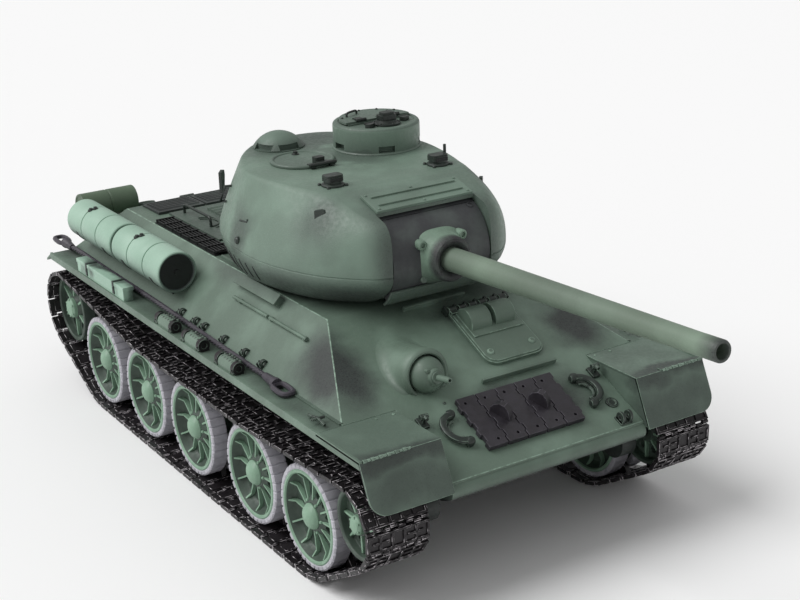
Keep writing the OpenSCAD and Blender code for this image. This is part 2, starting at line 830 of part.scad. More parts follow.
module lifting_hook(at, turn) {
    translate(at) rotate([0, 0, turn]) block([-0.8, -1, -5], [0.8, 3.4, 5]);
}

module roof_fittings() color(hull_green) in_place() on_turret() {
    difference() {
        both_sides() translate([dome_at[0], dome_at[1], turret_roof_z + dome_h - dome_r]) {
            sphere(r = dome_r);
        }
        block([-40, 20, turret_roof_z - 40], [40, 70, turret_roof_z]);
        translate([cupola_at[0], cupola_at[1], turret_roof_z - 1]) cylinder(r = cupola_r + fit, h = 20);
    }
    for (x = [-30, 30]) translate([x, -38.5, turret_roof_z]) roof_periscope();
    translate([37, -35.5, turret_roof_z]) cylinder(r = 0.8, h = 9);
    difference() {
        union() {
            lifting_hook([-46.5, -52, 145], -140);
            lifting_hook([46.5, -52, 145], 140);
            lifting_hook([-46, 50, 142], -45);
            lifting_hook([46, 50, 142], 45);
            translate([-62, 3, 128]) rotate([0, -80, 0]) cylinder(r = 1.8, h = 5);
            grab_rail(-59, 36, 44, 140, 0.1);
        }
        casting(0);
    }
}

// ---- Running gear ----

// Parts of the wheels are drawn around the X axis on the tank's left, and mirrored for its right
module at_side(side) {
    if (side > 0) children();
    else mirror([1, 0, 0]) children();
}

module turned(x, y, z) {
    translate([x, y, z]) rotate([0, 90, 0]) children();
}

tyre_t = 2.6;
half_gap = 2;           // half of the channel for the guide horns
wheel_half_w = 11;

module wheel_disc() {
    rim_r = wheel_r - tyre_t;
    rotate_extrude() polygon([
        [axle_r + fit, 3.2], [14, 3.2], [rim_r - 2.4, half_gap + 0.4], [rim_r, half_gap + 0.4],
        [rim_r, wheel_half_w], [rim_r - 1.4, wheel_half_w], [rim_r - 2.2, 5], [15, 5],
        [7, 7.2], [axle_r + fit, 7.2]
    ]);
}

module tyre() {
    translate([0, 0, half_gap]) difference() {
        cylinder(r = wheel_r, h = wheel_half_w - half_gap);
        translate([0, 0, -1]) cylinder(r = wheel_r - tyre_t, h = 20);
    }
}

module road_wheel(side, y) {
    color(tyre_grey) in_place() at_side(side) turned(track_x, y, wheel_z) {
        difference() {
            wheel_disc();
            for (a = [0 : 30 : 330]) rotate([0, 0, a]) translate([10.5, 0, 0]) cylinder(r = 1.7, h = 20);
        }
        mirror([0, 0, 1]) wheel_disc();
        difference() {
            translate([0, 0, -3.2]) cylinder(r = 6, h = 6.4);
            translate([0, 0, -5]) cylinder(r = axle_r + fit, h = 10);
        }
        tyre();
        mirror([0, 0, 1]) tyre();
        translate([0, 0, 7.2]) difference() {
            cylinder(r = 5, h = 3);
            translate([0, 0, -1]) cylinder(r = axle_r + fit, h = 3);
        }
    }
}

module swing_arm(side, y) {
    pivot = [y - arm_back, wheel_z + arm_drop];
    color(steel_dark) in_place() at_side(side) {
        axle(tub_x - 5, tub_x + 3, pivot[0], pivot[1], arm_pin_r);
        axle(tub_x + 2.3, tub_x + 6, pivot[0], pivot[1], 4.4);
        axle(tub_x + 2.3, tub_x + 6, y, wheel_z, 4.4);
        translate([tub_x + 2.3, pivot[0], pivot[1]]) rotate([-atan2(arm_drop, arm_back), 0, 0]) {
            cube([3.7, norm([arm_back, arm_drop]), 3]);
            translate([0, 0, -3]) cube([3.7, norm([arm_back, arm_drop]), 3.1]);
        }
        axle(tub_x + 6, track_x + 8, y, wheel_z, axle_r);
        axle(tub_x + 5.9, track_x - wheel_half_w + 2.6, y, wheel_z, 4);
    }
}

module rim_pair(r, hub_r, holes, hole_at, hole_r) {
    for (s = [0, 1]) mirror([0, 0, s]) difference() {
        translate([0, 0, half_gap + 0.4]) cylinder(r = r, h = 7);
        translate([0, 0, half_gap + 3.4]) cylinder(r = r - 2, h = 10);
        translate([0, 0, -1]) cylinder(r = axle_r + fit, h = 20);
        for (i = [0 : holes - 1]) {
            rotate([0, 0, i * 360 / holes]) translate([hole_at, 0, 0]) cylinder(r = hole_r, h = 20);
        }
    }
    difference() {
        translate([0, 0, -half_gap - 0.4]) cylinder(r = hub_r, h = 2 * half_gap + 0.8);
        translate([0, 0, -10]) cylinder(r = axle_r + fit, h = 20);
    }
}

module sprocket(side) color(hull_green) in_place() at_side(side) turned(track_x, sprocket_y, sprocket_z) {
    rim_pair(sprocket_r, 7, 6, 12.5, 3);
    translate([0, 0, half_gap + 3.4]) cylinder(r = 6.4, h = 5);
    translate([0, 0, half_gap + 8.4]) cylinder(r = 4.4, h = 2);
    translate([0, 0, tub_x - track_x - 1.5]) cylinder(r = shaft_r, h = track_x - tub_x - 4);
    translate([0, 0, -6]) cylinder(r = axle_r + fit, h = 16);
}

module idler(side) color(hull_green) in_place() at_side(side) turned(track_x, idler_y, idler_z) {
    rim_pair(idler_r, 5.5, 5, 9.5, 1.6);
    translate([0, 0, half_gap + 3.4]) difference() {
        cylinder(r = 4.6, h = 5);
        translate([0, 0, -1]) cylinder(r = axle_r + fit, h = 4.6);
    }
}

// ---- Tracks ----

// The line through the middle of the plates: arcs round the end wheels, straight runs between
plate_mid = link_t / 2;
flat_over = 2;          // the ground run reaches this far past the end wheels
wrap = [
    [wheel_ys[4] + flat_over, plate_mid + 27, 27],
    [sprocket_y, sprocket_z, sprocket_r + plate_mid + 0.9],
    [wheel_ys[3], wheel_z, wheel_r + plate_mid + 0.4],
    [wheel_ys[1], wheel_z, wheel_r + plate_mid + 0.4],
    [idler_y, idler_z, idler_r + plate_mid + 1.1],
    [wheel_ys[0] - flat_over, plate_mid + 27, 27]
];

// Direction, in degrees, from circle a to circle b of the outer tangent that the track follows
function tangent(a, b) = let (d = [b[0] - a[0], b[1] - a[1]])
    atan2(d[1], d[0]) - asin((b[2] - a[2]) / norm(d));

arc_steps = 24;

function arc(c, from, to) = [for (i = [0 : arc_steps]) let (a = mix(from, to, i / arc_steps) - 90)
    [c[0] + c[2] * cos(a), c[1] + c[2] * sin(a)]];

// Slope of the upper run between the tops of two of the circles
function top_slope(a, b) = atan2(a[1] + a[2] - b[1] - b[2], abs(a[0] - b[0]));

// The upper run comes down from the sprocket onto the wheels and rises again to the idler
heading = [
    0, tangent(wrap[0], wrap[1]), 180 + top_slope(wrap[1], wrap[2]),
    180, 180 - top_slope(wrap[4], wrap[3]), 360 + tangent(wrap[4], wrap[5])
];
track_line = concat(
    arc(wrap[0], heading[0], heading[1]),
    arc(wrap[1], heading[1], heading[2]),
    [[wrap[2][0] + 8, wrap[2][1] + wrap[2][2] + 0.9], [wrap[2][0], wrap[2][1] + wrap[2][2]]],
    [[wrap[3][0], wrap[3][1] + wrap[3][2]], [wrap[3][0] - 8, wrap[3][1] + wrap[3][2] + 0.5]],
    arc(wrap[4], heading[4], heading[5]),
    arc(wrap[5], heading[5], 360),
    [[wrap[0][0], wrap[0][1] - wrap[0][2]]]
);

line_at = [for (i = 0, s = 0; i < len(track_line);
    s = s + (i < len(track_line) - 1 ? norm(track_line[i + 1] - track_line[i]) : 0), i = i + 1) s];
line_length = line_at[len(line_at) - 1];
pitch = line_length / link_count;

function place_at(s) = let (
    t = s >= line_length ? s - line_length : s,
    i = min(len([for (v = line_at) if (v <= t) 1]) - 1, len(track_line) - 2),
    span = line_at[i + 1] - line_at[i]
) mix(track_line[i], track_line[i + 1], span > 0 ? (t - line_at[i]) / span : 0);

module track(side) color(track_black) in_place() at_side(side) {
    for (i = [0 : link_count - 1]) {
        a = place_at(i * pitch);
        b = place_at((i + 1) * pitch);
        middle = (a + b) / 2;
        lean = atan2(b[1] - a[1], b[0] - a[0]);
        translate([track_x, middle[0], middle[1]]) rotate([lean, 0, 0]) {
            translate([-track_w / 2, -pitch / 2 + 0.75, -link_t / 2]) cube([track_w, pitch - 1.5, link_t]);
            if (i % 2 == 0) translate([-1.4, -2, link_t / 2 - eps]) cube([2.8, 4, 7]);
        }
    }
}

// ---- Drawing ----

lower_hull();
upper_hull();
fenders();
front_mudguards();
engine_deck();
rear_panel();
driver_hatch();
mg_ball();
glacis_fittings();
spare_links();
tow_cables();
grousers();
stowage_box();
fuel_tanks();
smoke_canisters();
handrails();
hull_screws();
battery_door();
battery_pack();
control_board();
speaker();
power_switch();
gearboxes();
turret_motor();
turret_pinion();
turret_ring();
turret_shell();
mantlet();
gun_barrel();
mantlet_cover();
cupola();
cupola_hatch();
loader_hatch();
roof_fittings();
track(-1);  // track_r
track(1);  // track_l
sprocket(-1);  // sprocket_r
sprocket(1);  // sprocket_l
idler(-1);  // idler_r
idler(1);  // idler_l
for (i = [0 : 4]) {
    swing_arm(-1, wheel_ys[i]);
    swing_arm(1, wheel_ys[i]);
    road_wheel(-1, wheel_ys[i]);
    road_wheel(1, wheel_ys[i]);
}
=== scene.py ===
"""The looks of a radio-controlled model tank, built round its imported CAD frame.

Lengths are millimetres in the tank's own frame: y = 0 lies between the outer road wheels, the gun points
along -Y, the tank's right side is -X, and the tracks stand on z = 0. Build.piece() turns them into metres.
"""
import math
import random

import bmesh
import bpy
from mathutils import Matrix, Vector, noise


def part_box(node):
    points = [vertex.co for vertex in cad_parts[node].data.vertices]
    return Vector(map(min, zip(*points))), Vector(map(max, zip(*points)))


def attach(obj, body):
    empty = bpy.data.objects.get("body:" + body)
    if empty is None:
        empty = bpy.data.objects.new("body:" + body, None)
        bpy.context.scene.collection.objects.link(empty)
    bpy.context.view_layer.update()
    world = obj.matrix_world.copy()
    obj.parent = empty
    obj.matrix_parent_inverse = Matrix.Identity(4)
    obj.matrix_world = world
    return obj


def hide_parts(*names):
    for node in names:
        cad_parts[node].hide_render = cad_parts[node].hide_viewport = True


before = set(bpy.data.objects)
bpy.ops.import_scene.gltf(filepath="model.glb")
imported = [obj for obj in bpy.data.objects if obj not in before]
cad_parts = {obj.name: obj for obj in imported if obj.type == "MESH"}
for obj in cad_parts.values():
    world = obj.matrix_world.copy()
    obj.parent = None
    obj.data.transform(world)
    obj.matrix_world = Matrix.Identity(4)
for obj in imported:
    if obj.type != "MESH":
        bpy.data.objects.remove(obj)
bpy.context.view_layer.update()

random.seed(7)

# ---- Driving sizes, the same as the CAD frame's ----

WHEEL_YS = (-117.5, -62.5, 2.5, 60.0, 117.5)
WHEEL_R, WHEEL_Z = 25.0, 27.7
TRACK_X, TRACK_W, LINK_T, LINKS = 79.5, 31.0, 2.4, 72
SPROCKET = (166.5, 45.0, 20.0)  # y, z, radius
IDLER = (-158.5, 41.0, 16.5)
ROOF_Z, FENDER_Z = 103.0, 77.0
ROOF_X, BASE_X, TUB_X, FENDER_X = 54.0, 81.0, 53.6, 93.6
GLACIS_TOP_Y, GLACIS_FOOT_Y, NOSE_Y = -80.0, -136.5, -178.0
DECK_END_Y, TAIL_Y, TAIL_Z = 152.0, 188.0, 66.0
TURRET_Y, TURRET_FOOT_Z, TURRET_WIDE_Z, TURRET_ROOF_Z = -10.8, 105.5, 122.0, 156.3
TRUNNION_Y, TRUNNION_Z, SHIELD_R, SHIELD_X = -63.5, 125.8, 22.3, 27.0
GUN_LENGTH, REST_ELEVATION = 207.3, 3.3
CUPOLA_AT, CUPOLA_R, CUPOLA_H = (27.5, 14.6), 22.6, 13.6
LOADER_AT, LOADER_R = (-19.0, 10.5), 16.5
MG_AT, MG_TILT = (-32.5, -129.0, 86.4), 10.0

GLACIS_A = math.atan((ROOF_Z - FENDER_Z) / (GLACIS_TOP_Y - GLACIS_FOOT_Y))
NOSE_Z = FENDER_Z - (GLACIS_FOOT_Y - NOSE_Y) * math.tan(GLACIS_A)
TAIL_TOP_Y = TAIL_Y - (FENDER_Z - TAIL_Z) * (TAIL_Y - DECK_END_Y) / (ROOF_Z - TAIL_Z)
SIDE_A = math.atan((BASE_X - ROOF_X) / (ROOF_Z - FENDER_Z))
TAIL_A = math.atan((ROOF_Z - TAIL_Z) / (TAIL_Y - DECK_END_Y))

MM = 0.001
low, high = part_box("road_wheel_l3")
MID_Y = (low.y + high.y) / 2 / MM - WHEEL_YS[2]
TO_ROW = Matrix.Scale(MM, 4) @ Matrix.Translation((0, MID_Y, 0))

# ---- Mesh building ----


def move(x, y, z):
    return Matrix.Translation((x, y, z))


def turn(degrees, axis):
    return Matrix.Rotation(math.radians(degrees), 4, axis)


def mix(a, b, t):
    return a + (b - a) * t


def mirror(side):
    """Turns what is drawn on the tank's +X side onto side, which is 1 or -1."""
    return Matrix.Scale(side, 4, (1, 0, 0))


def degrees(start, stop, step):
    return [math.radians(d) for d in range(start, stop, step)]


def signed_power(value, power):
    return math.copysign(abs(value) ** power, value)


def catmull(a, b, c, d, t):
    """A point between b and c on a smooth curve through all four."""
    return 0.5 * (2 * b + (c - a) * t + (2 * a - 5 * b + 4 * c - d) * t * t
                  + (3 * b - a - 3 * c + d) * t ** 3)


def arc(cx, cy, r, start, end, steps=8):
    """Points along an arc, in degrees."""
    angles = [math.radians(mix(start, end, i / steps)) for i in range(steps + 1)]
    return [(cx + r * math.cos(a), cy + r * math.sin(a)) for a in angles]


def ring(r, n, z=0.0):
    return [(r * math.cos(i * math.tau / n), r * math.sin(i * math.tau / n), z) for i in range(n)]


def rounded(w, h, r, steps=4):
    """A rectangle outline, w by h about the origin, with round corners."""
    x, y = w / 2 - r, h / 2 - r
    return (arc(x, y, r, 0, 90, steps) + arc(-x, y, r, 90, 180, steps)
            + arc(-x, -y, r, 180, 270, steps) + arc(x, -y, r, 270, 360, steps))


# Prisms drawn as [y, z] run along X, and those drawn as [x, z] run along -Y
YZ = Matrix(((0, 0, 1, 0), (1, 0, 0, 0), (0, 1, 0, 0), (0, 0, 0, 1)))
XZ = Matrix(((1, 0, 0, 0), (0, 0, -1, 0), (0, 1, 0, 0), (0, 0, 0, 1)))


def on_glacis(x, u, h):
    """Across, down the slope from the roof, and above the glacis plate."""
    return move(0, GLACIS_TOP_Y, ROOF_Z) @ Matrix.Rotation(GLACIS_A, 4, "X") @ move(x, -u, h)


def on_side(side, y, v, h):
    """Along, down the slope from the roof, and above a side plate; side is -1 for the tank's right."""
    flip = mirror(-side)
    return flip @ move(-ROOF_X, y, ROOF_Z) @ Matrix.Rotation(SIDE_A - math.pi / 2, 4, "Y") @ move(-v, 0, h)


def on_tail(x, v, h):
    return move(0, DECK_END_Y, ROOF_Z) @ Matrix.Rotation(-TAIL_A, 4, "X") @ move(x, v, h)


ON_TURRET = move(0, TURRET_Y, 0)


class Build:
    """Collects closed solids, then becomes one piece of the model."""

    def __init__(self, at=None):
        self.bm = bmesh.new()
        self.at = at or Matrix.Identity(4)
        self.mat = 0

    def points(self, places, at=None):
        m = self.at @ at if at else self.at
        return [self.bm.verts.new(m @ Vector(p)) for p in places]

    def face(self, verts):
        f = self.bm.faces.new(verts)
        f.material_index = self.mat

    def box(self, lo, hi, at=None):
        v = self.points([(x, y, z) for x in (lo[0], hi[0]) for y in (lo[1], hi[1]) for z in (lo[2], hi[2])],
                        at)
        for q in ((0, 1, 3, 2), (4, 6, 7, 5), (0, 4, 5, 1), (2, 3, 7, 6), (0, 2, 6, 4), (1, 5, 7, 3)):
            self.face([v[i] for i in q])

    def prism(self, outline, z0, z1, at=None):
        a = self.points([(x, y, z0) for x, y in outline], at)
        b = self.points([(x, y, z1) for x, y in outline], at)
        n = len(outline)
        for i in range(n):
            j = (i + 1) % n
            self.face([a[i], a[j], b[j], b[i]])
        self.face(a[::-1])
        self.face(b)

    def lathe(self, profile, at=None, steps=48):
        """Turns a profile of (radius, height) round Z. It runs from axis to axis, or is a closed loop."""
        solid = profile[0][0] == 0
        rows = []
        for r, z in profile:
            rows.append(self.points([(0, 0, z)], at) if r == 0 else self.points(ring(r, steps, z), at))
        pairs = list(zip(rows, rows[1:])) + ([] if solid else [(rows[-1], rows[0])])
        for a, b in pairs:
            for i in range(steps):
                j = (i + 1) % steps
                if len(a) == 1:
                    self.face([a[0], b[j], b[i]])
                elif len(b) == 1:
                    self.face([a[i], a[j], b[0]])
                else:
                    self.face([a[i], a[j], b[j], b[i]])

    def cylinder(self, r, z0, z1, at=None, steps=32, edge=0.0):
        """A cylinder whose rims are cut back by edge."""
        e = edge
        self.lathe([(0, z0), (r - e, z0), (r, z0 + e), (r, z1 - e), (r - e, z1), (0, z1)] if e
                   else [(0, z0), (r, z0), (r, z1), (0, z1)], at, steps)

    def tube(self, path, r, at=None, steps=10, squash=1.0):
        """A round bar along a path of points, with flat ends. Squash flattens it along Z."""
        pts = [Vector(p) for p in path]
        rows = []
        for i, p in enumerate(pts):
            d = (pts[min(i + 1, len(pts) - 1)] - pts[max(i - 1, 0)]).normalized()
            side = d.cross(Vector((0, 0, 1)))
            side = (side if side.length > 0.05 else d.cross(Vector((1, 0, 0)))).normalized()
            up = side.cross(d)
            rows.append(self.points([p + side * x + up * y * squash for x, y, _ in ring(r, steps)], at))
        for a, b in zip(rows, rows[1:]):
            for i in range(steps):
                j = (i + 1) % steps
                self.face([a[i], a[j], b[j], b[i]])
        self.face(rows[0][::-1])
        self.face(rows[-1])

    def loft(self, rows, at=None, closed=False):
        """Skins closed rings of points. The ends are capped, or joined to each other if closed."""
        rows = [self.points(row, at) for row in rows]
        n = len(rows[0])
        for a, b in list(zip(rows, rows[1:])) + ([(rows[-1], rows[0])] if closed else []):
            for i in range(n):
                j = (i + 1) % n
                self.face([a[i], a[j], b[j], b[i]])
        if not closed:
            self.face(rows[0][::-1])
            self.face(rows[-1])

    def bolt(self, x, y, z, r=0.9, h=0.6, at=None):
        m = (at or Matrix.Identity(4)) @ move(x, y, z)
        self.lathe([(0, -0.3), (r, -0.3), (r, h * 0.5), (r * 0.7, h), (0, h)], m, 10)

    def bolt_ring(self, count, radius, z, r, h, centre=(0, 0), phase=0.5):
        """Bolts spaced evenly round a circle."""
        for k in range(count):
            a = math.tau * (k + phase) / count
            self.bolt(centre[0] + radius * math.cos(a), centre[1] + radius * math.sin(a), z, r, h)

    def add(self, other):
        """Takes in the faces of a build that stands in its own frame."""
        self.bm.from_mesh(other.mesh("part", [], transform=Matrix.Identity(4)))

    def slice(self, step):
        """Cuts the faces every step, so that shading can vary across a large plate."""
        for axis in range(3):
            lo = min(v.co[axis] for v in self.bm.verts)
            hi = max(v.co[axis] for v in self.bm.verts)
            normal = Vector([1.0 if i == axis else 0.0 for i in range(3)])
            for i in range(1, int((hi - lo) / step)):
                at = normal * (lo + i * step + 0.0137)
                geom = self.bm.verts[:] + self.bm.edges[:] + self.bm.faces[:]
                bmesh.ops.bisect_plane(self.bm, geom=geom, dist=1e-4, plane_co=at, plane_no=normal)

    def cut(self, other):
        """Subtracts another build from this one."""
        for name, b in (("cut_a", self), ("cut_b", other)):
            bmesh.ops.recalc_face_normals(b.bm, faces=b.bm.faces)
            mesh = bpy.data.meshes.new(name)
            b.bm.to_mesh(mesh)
            bpy.context.scene.collection.objects.link(bpy.data.objects.new(name, mesh))
        a, b = bpy.data.objects["cut_a"], bpy.data.objects["cut_b"]
        mod = a.modifiers.new("cut", "BOOLEAN")
        mod.operation, mod.object, mod.solver = "DIFFERENCE", b, "EXACT"
        result = bpy.data.meshes.new_from_object(a.evaluated_get(bpy.context.evaluated_depsgraph_get()))
        self.bm.free()
        self.bm = bmesh.new()
        self.bm.from_mesh(result)
        for o in (a, b):
            data = o.data
            bpy.data.objects.remove(o)
            bpy.data.meshes.remove(data)

    def mesh(self, name, materials, shade=None, transform=TO_ROW, angle=32):
        """The mesh in metres, smooth apart from edges sharper than angle, with the shade of each point."""
        bm = self.bm
        bmesh.ops.recalc_face_normals(bm, faces=bm.faces)
        values = [shade(v.co) if shade else 0.0 for v in bm.verts]
        bm.transform(transform)
        for e in bm.edges:
            e.smooth = e.is_manifold and e.calc_face_angle(0) < math.radians(angle)
        for f in bm.faces:
            f.smooth = True
        mesh = bpy.data.meshes.new(name)
        bm.to_mesh(mesh)
        bm.free()
        mesh.attributes.new("shade", "FLOAT", "POINT").data.foreach_set("value", values)
        for m in materials:
            mesh.materials.append(m)
        return mesh

    def piece(self, name, body, materials, shade=None, bevel=0.0, segments=2, slot=None, replaces=(),
              edge=None):
        mesh = self.mesh(name, materials + ([edge] if edge else []), shade)
        return show(name, mesh, body, bevel, segments, replaces, len(materials) if edge else -1)


def show(name, mesh, body, bevel=0.0, segments=2, replaces=(), edge=-1):
    """An object that shows a mesh and rides on a CAD body. Edge is the material slot of its bevels."""
    o = bpy.data.objects.new(name, mesh)
    bpy.context.scene.collection.objects.link(o)
    if bevel:
        mod = o.modifiers.new("edges", "BEVEL")
        mod.width, mod.segments, mod.limit_method = bevel * MM, segments, "ANGLE"
        mod.angle_limit, mod.harden_normals = math.radians(32), True
        mod.use_clamp_overlap = True
        mod.material = edge
    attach(o, body)
    if replaces:
        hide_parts(*replaces)
    return o


# ---- Materials ----


def srgb(r, g, b):
    return tuple(c / 12.92 / 255 if c <= 10 else ((c / 255 + 0.055) / 1.055) ** 2.4
                 for c in (r, g, b)) + (1.0,)


class Shader:
    """Small helper that adds and links nodes."""

    def __init__(self, name):
        self.material = bpy.data.materials.new(name)
        self.material.use_nodes = True
        self.tree = self.material.node_tree
        self.out = self.tree.nodes["Principled BSDF"]

    def node(self, kind, inputs=None, **settings):
        n = self.tree.nodes.new(kind)
        for k, v in settings.items():
            setattr(n, k, v)
        for k, v in (inputs or {}).items():
            if isinstance(v, bpy.types.NodeSocket):
                self.tree.links.new(v, n.inputs[k])
            else:
                n.inputs[k].default_value = v
        return n

    def noise(self, scale, detail=3.0, rough=0.5):
        place = self.node("ShaderNodeTexCoord").outputs["Object"]
        return self.node("ShaderNodeTexNoise", {"Vector": place, "Scale": scale, "Detail": detail,
                                                "Roughness": rough}).outputs["Fac"]

    def ramp(self, value, lo, hi, a=0.0, b=1.0):
        return self.node("ShaderNodeMapRange", {"Value": value, "From Min": lo, "From Max": hi,
                                                "To Min": a, "To Max": b},
                         interpolation_type="SMOOTHSTEP").outputs["Result"]

    def math(self, operation, a, b):
        return self.node("ShaderNodeMath", {0: a, 1: b}, operation=operation, use_clamp=True).outputs[0]

    def vector(self, operation, *inputs):
        return self.node("ShaderNodeVectorMath", dict(enumerate(inputs)),
                         operation=operation).outputs["Vector"]

    def blob(self, place, centre, radii, amount):
        """Amount inside an ellipsoid given in the tank's frame, fading to nothing at its surface."""
        x, y, z = centre
        away = self.vector("SUBTRACT", place, (x * MM, (y + MID_Y) * MM, z * MM))
        away = self.vector("DIVIDE", away, tuple(r * MM for r in radii))
        distance = self.node("ShaderNodeVectorMath", {0: away}, operation="LENGTH").outputs["Value"]
        return self.ramp(distance, 0.3, 1.0, amount, 0.0)

    def blend(self, fac, a, b):
        n = self.node("ShaderNodeMix", data_type="RGBA")
        for socket, v in ((n.inputs["Factor"], fac), (n.inputs["A"], a), (n.inputs["B"], b)):
            if isinstance(v, bpy.types.NodeSocket):
                self.tree.links.new(v, socket)
            else:
                socket.default_value = v
        return n.outputs["Result"]

    def set(self, **inputs):
        for k, v in inputs.items():
            socket = self.out.inputs[k.replace("_", " ")]
            if isinstance(v, bpy.types.NodeSocket):
                self.tree.links.new(v, socket)
            else:
                socket.default_value = v
        return self.material

    def bump(self, height, distance, strength=1.0):
        return self.node("ShaderNodeBump", {"Height": height, "Distance": distance * MM,
                                            "Strength": strength}).outputs["Normal"]


def painted(name, base, dark, light, roughness=0.5, cloud=45.0, grain=1500.0, depth=0.05, spray_and_shade=()):
    """Airbrushed matt paint: soft clouds of a second tone under a dark tone, which is partly airbrushed
    overspray and partly painted shade.

    The dark tone lies where the mesh's shade attribute says, and in the given blobs: (centre, radii, amount).
    """
    s = Shader(name)
    shade = s.node("ShaderNodeAttribute", attribute_name="shade").outputs["Fac"]
    if spray_and_shade:
        place = s.node("ShaderNodeTexCoord").outputs["Object"]
        ragged = s.node("ShaderNodeTexNoise",
                        {"Vector": place, "Scale": 50.0, "Detail": 3.0}).outputs["Color"]
        place = s.vector("ADD", place, s.vector("MULTIPLY_ADD", ragged, (0.02,) * 3, (-0.01,) * 3))
        for centre, radii, amount in spray_and_shade:
            shade = s.math("MAXIMUM", shade, s.blob(place, centre, radii, amount))
    speckle = s.noise(grain, 2.0, 0.6)
    tone = s.blend(s.ramp(s.noise(cloud, 3.0), 0.38, 0.7), srgb(*base),
                   srgb(*(mix(b, l, 0.28) for b, l in zip(base, light))))
    tone = s.blend(s.ramp(speckle, 0.55, 0.75, 0.0, 0.3), tone, srgb(*(min(255, c * 1.2) for c in base)))
    # A speckle at the edge of the dark tone, in both the painted shade and the airbrushing.
    speckled_shade = s.math("MULTIPLY", s.ramp(speckle, 0.5, 0.75), s.ramp(shade, 0.02, 0.4, 0.0, 0.2))
    tone = s.blend(s.math("ADD", shade, speckled_shade), tone, srgb(*dark))
    return s.set(Base_Color=tone,
                 Roughness=s.ramp(s.noise(grain * 0.4), 0.3, 0.7, roughness - 0.07, roughness + 0.1),
                 Normal=s.bump(speckle, depth))


def patchy(name, base, second, roughness=0.5, metallic=0.0, scale=160.0):
    """Paint, rubber or metal with uneven patches, darker where the mesh's shade says."""
    s = Shader(name)
    patches = s.noise(scale, 4.0, 0.6)
    shade = s.node("ShaderNodeAttribute", attribute_name="shade").outputs["Fac"]
    tone = s.blend(s.ramp(patches, 0.35, 0.65), srgb(*base), srgb(*second))
    tone = s.blend(shade, tone, srgb(*(c * 0.4 for c in base)))
    return s.set(Base_Color=tone, Roughness=s.ramp(patches, 0.3, 0.7, roughness - 0.1, roughness + 0.12),
                 Metallic=metallic, Normal=s.bump(s.noise(900.0, 3.0), 0.08))


def worn_and_highlit(name, base, bright, amount=1.0, lo=0.35, hi=0.6, roughness=0.45, metallic=0.0):
    """Edges lightened with a bright colour, for the bevelled faces of a piece: partly dry-brushed wear,
    partly painted highlight.
    """
    s = Shader(name)
    edge_brightening = s.ramp(s.noise(380.0, 2.0), lo, hi, 0.0, amount)
    return s.set(Base_Color=s.blend(edge_brightening, srgb(*base), srgb(*bright)), Metallic=metallic,
                 Roughness=s.ramp(edge_brightening, 0.0, 1.0, roughness, roughness + 0.15))


# Blobs of dark tone on the hull, as (centre, radii, amount): partly airbrushed weathering, partly painted
# shade round the turret's foot, on the front corners, at the glacis foot, by the driver's hatch and at the
# tail.
HULL_SPRAY_AND_SHADE = [((0, TURRET_Y, ROOF_Z), (88, 88, 12), 0.85), ((8, -152, 70), (50, 24, 14), 0.75),
              ((-67, -108, 90), (24, 42, 30), 0.85), ((62, -118, 86), (24, 26, 20), 0.85),
              ((8, -92, 97), (26, 14, 8), 0.5), ((34, -84, 101), (30, 14, 8), 0.5),
              ((0, 160, 95), (90, 34, 30), 0.7)]
# Dark tone on the mudguards' fold and flaps: partly airbrushed weathering, partly painted shade.
GUARD_SPRAY_AND_SHADE = [((x, y, z), r, a) for x in (-74, 74) for y, z, r, a in
               ((-172, 76, (48, 9, 9), 0.7), (-180, 62, (46, 16, 16), 0.45))]
# Dark tone on the turret's sides, on the roof between and behind the hatches, and at the front corners:
# partly airbrushed weathering, partly painted shade.
TURRET_SPRAY_AND_SHADE = [((-62, -9, 130), (17, 17, 20), 0.5), ((62, -9, 130), (17, 17, 20), 0.5),
                ((8, -6, 157), (36, 32, 5), 0.45), ((0, 38, 157), (62, 34, 6), 0.6),
                ((-44, -62, 148), (12, 14, 16), 0.5), ((44, -62, 148), (12, 14, 16), 0.5)]
HULL = painted("hull_paint", (92, 110, 97), (34, 34, 37), (150, 176, 159), spray_and_shade=HULL_SPRAY_AND_SHADE)
GUARD = painted("mudguard_paint", (86, 102, 91), (38, 40, 41), (140, 164, 148), spray_and_shade=GUARD_SPRAY_AND_SHADE)
HULL_DARK = painted("hull_paint_dark", (62, 68, 66), (26, 26, 29), (120, 145, 128), cloud=60.0)
# The underside colour is darkened to stand for the shade under the tank: painted shade.
UNDER_SHADE = painted("underside_painted_shade", (32, 38, 35), (18, 20, 19), (60, 70, 64), cloud=60.0)
TURRET = painted("turret_paint", (102, 121, 108), (38, 38, 40), (140, 168, 150), grain=1300.0, depth=0.09,
                 spray_and_shade=TURRET_SPRAY_AND_SHADE)
MINT = painted("mint_paint", (146, 176, 158), (52, 60, 58), (196, 222, 205), cloud=30.0)
# The stowage bin is darkened towards its inner side, next to the hull: painted shade.
BOX = painted("box_paint", (146, 176, 158), (44, 50, 47), (196, 222, 205), cloud=30.0,
              spray_and_shade=[((-86, 103, 82), (6.6, 60, 12), 0.95)])
SHIELD = painted("shield_paint", (58, 60, 62), (30, 29, 33), (120, 138, 126), cloud=70.0, depth=0.08)
CANISTER = painted("canister_paint", (78, 96, 76), (30, 34, 32), (120, 145, 118))
DISC = painted("wheel_disc_paint", (58, 70, 62), (18, 22, 20), (110, 140, 118), cloud=90.0)
RIM = painted("rim_paint", (122, 152, 130), (60, 76, 66), (170, 205, 180), cloud=90.0)
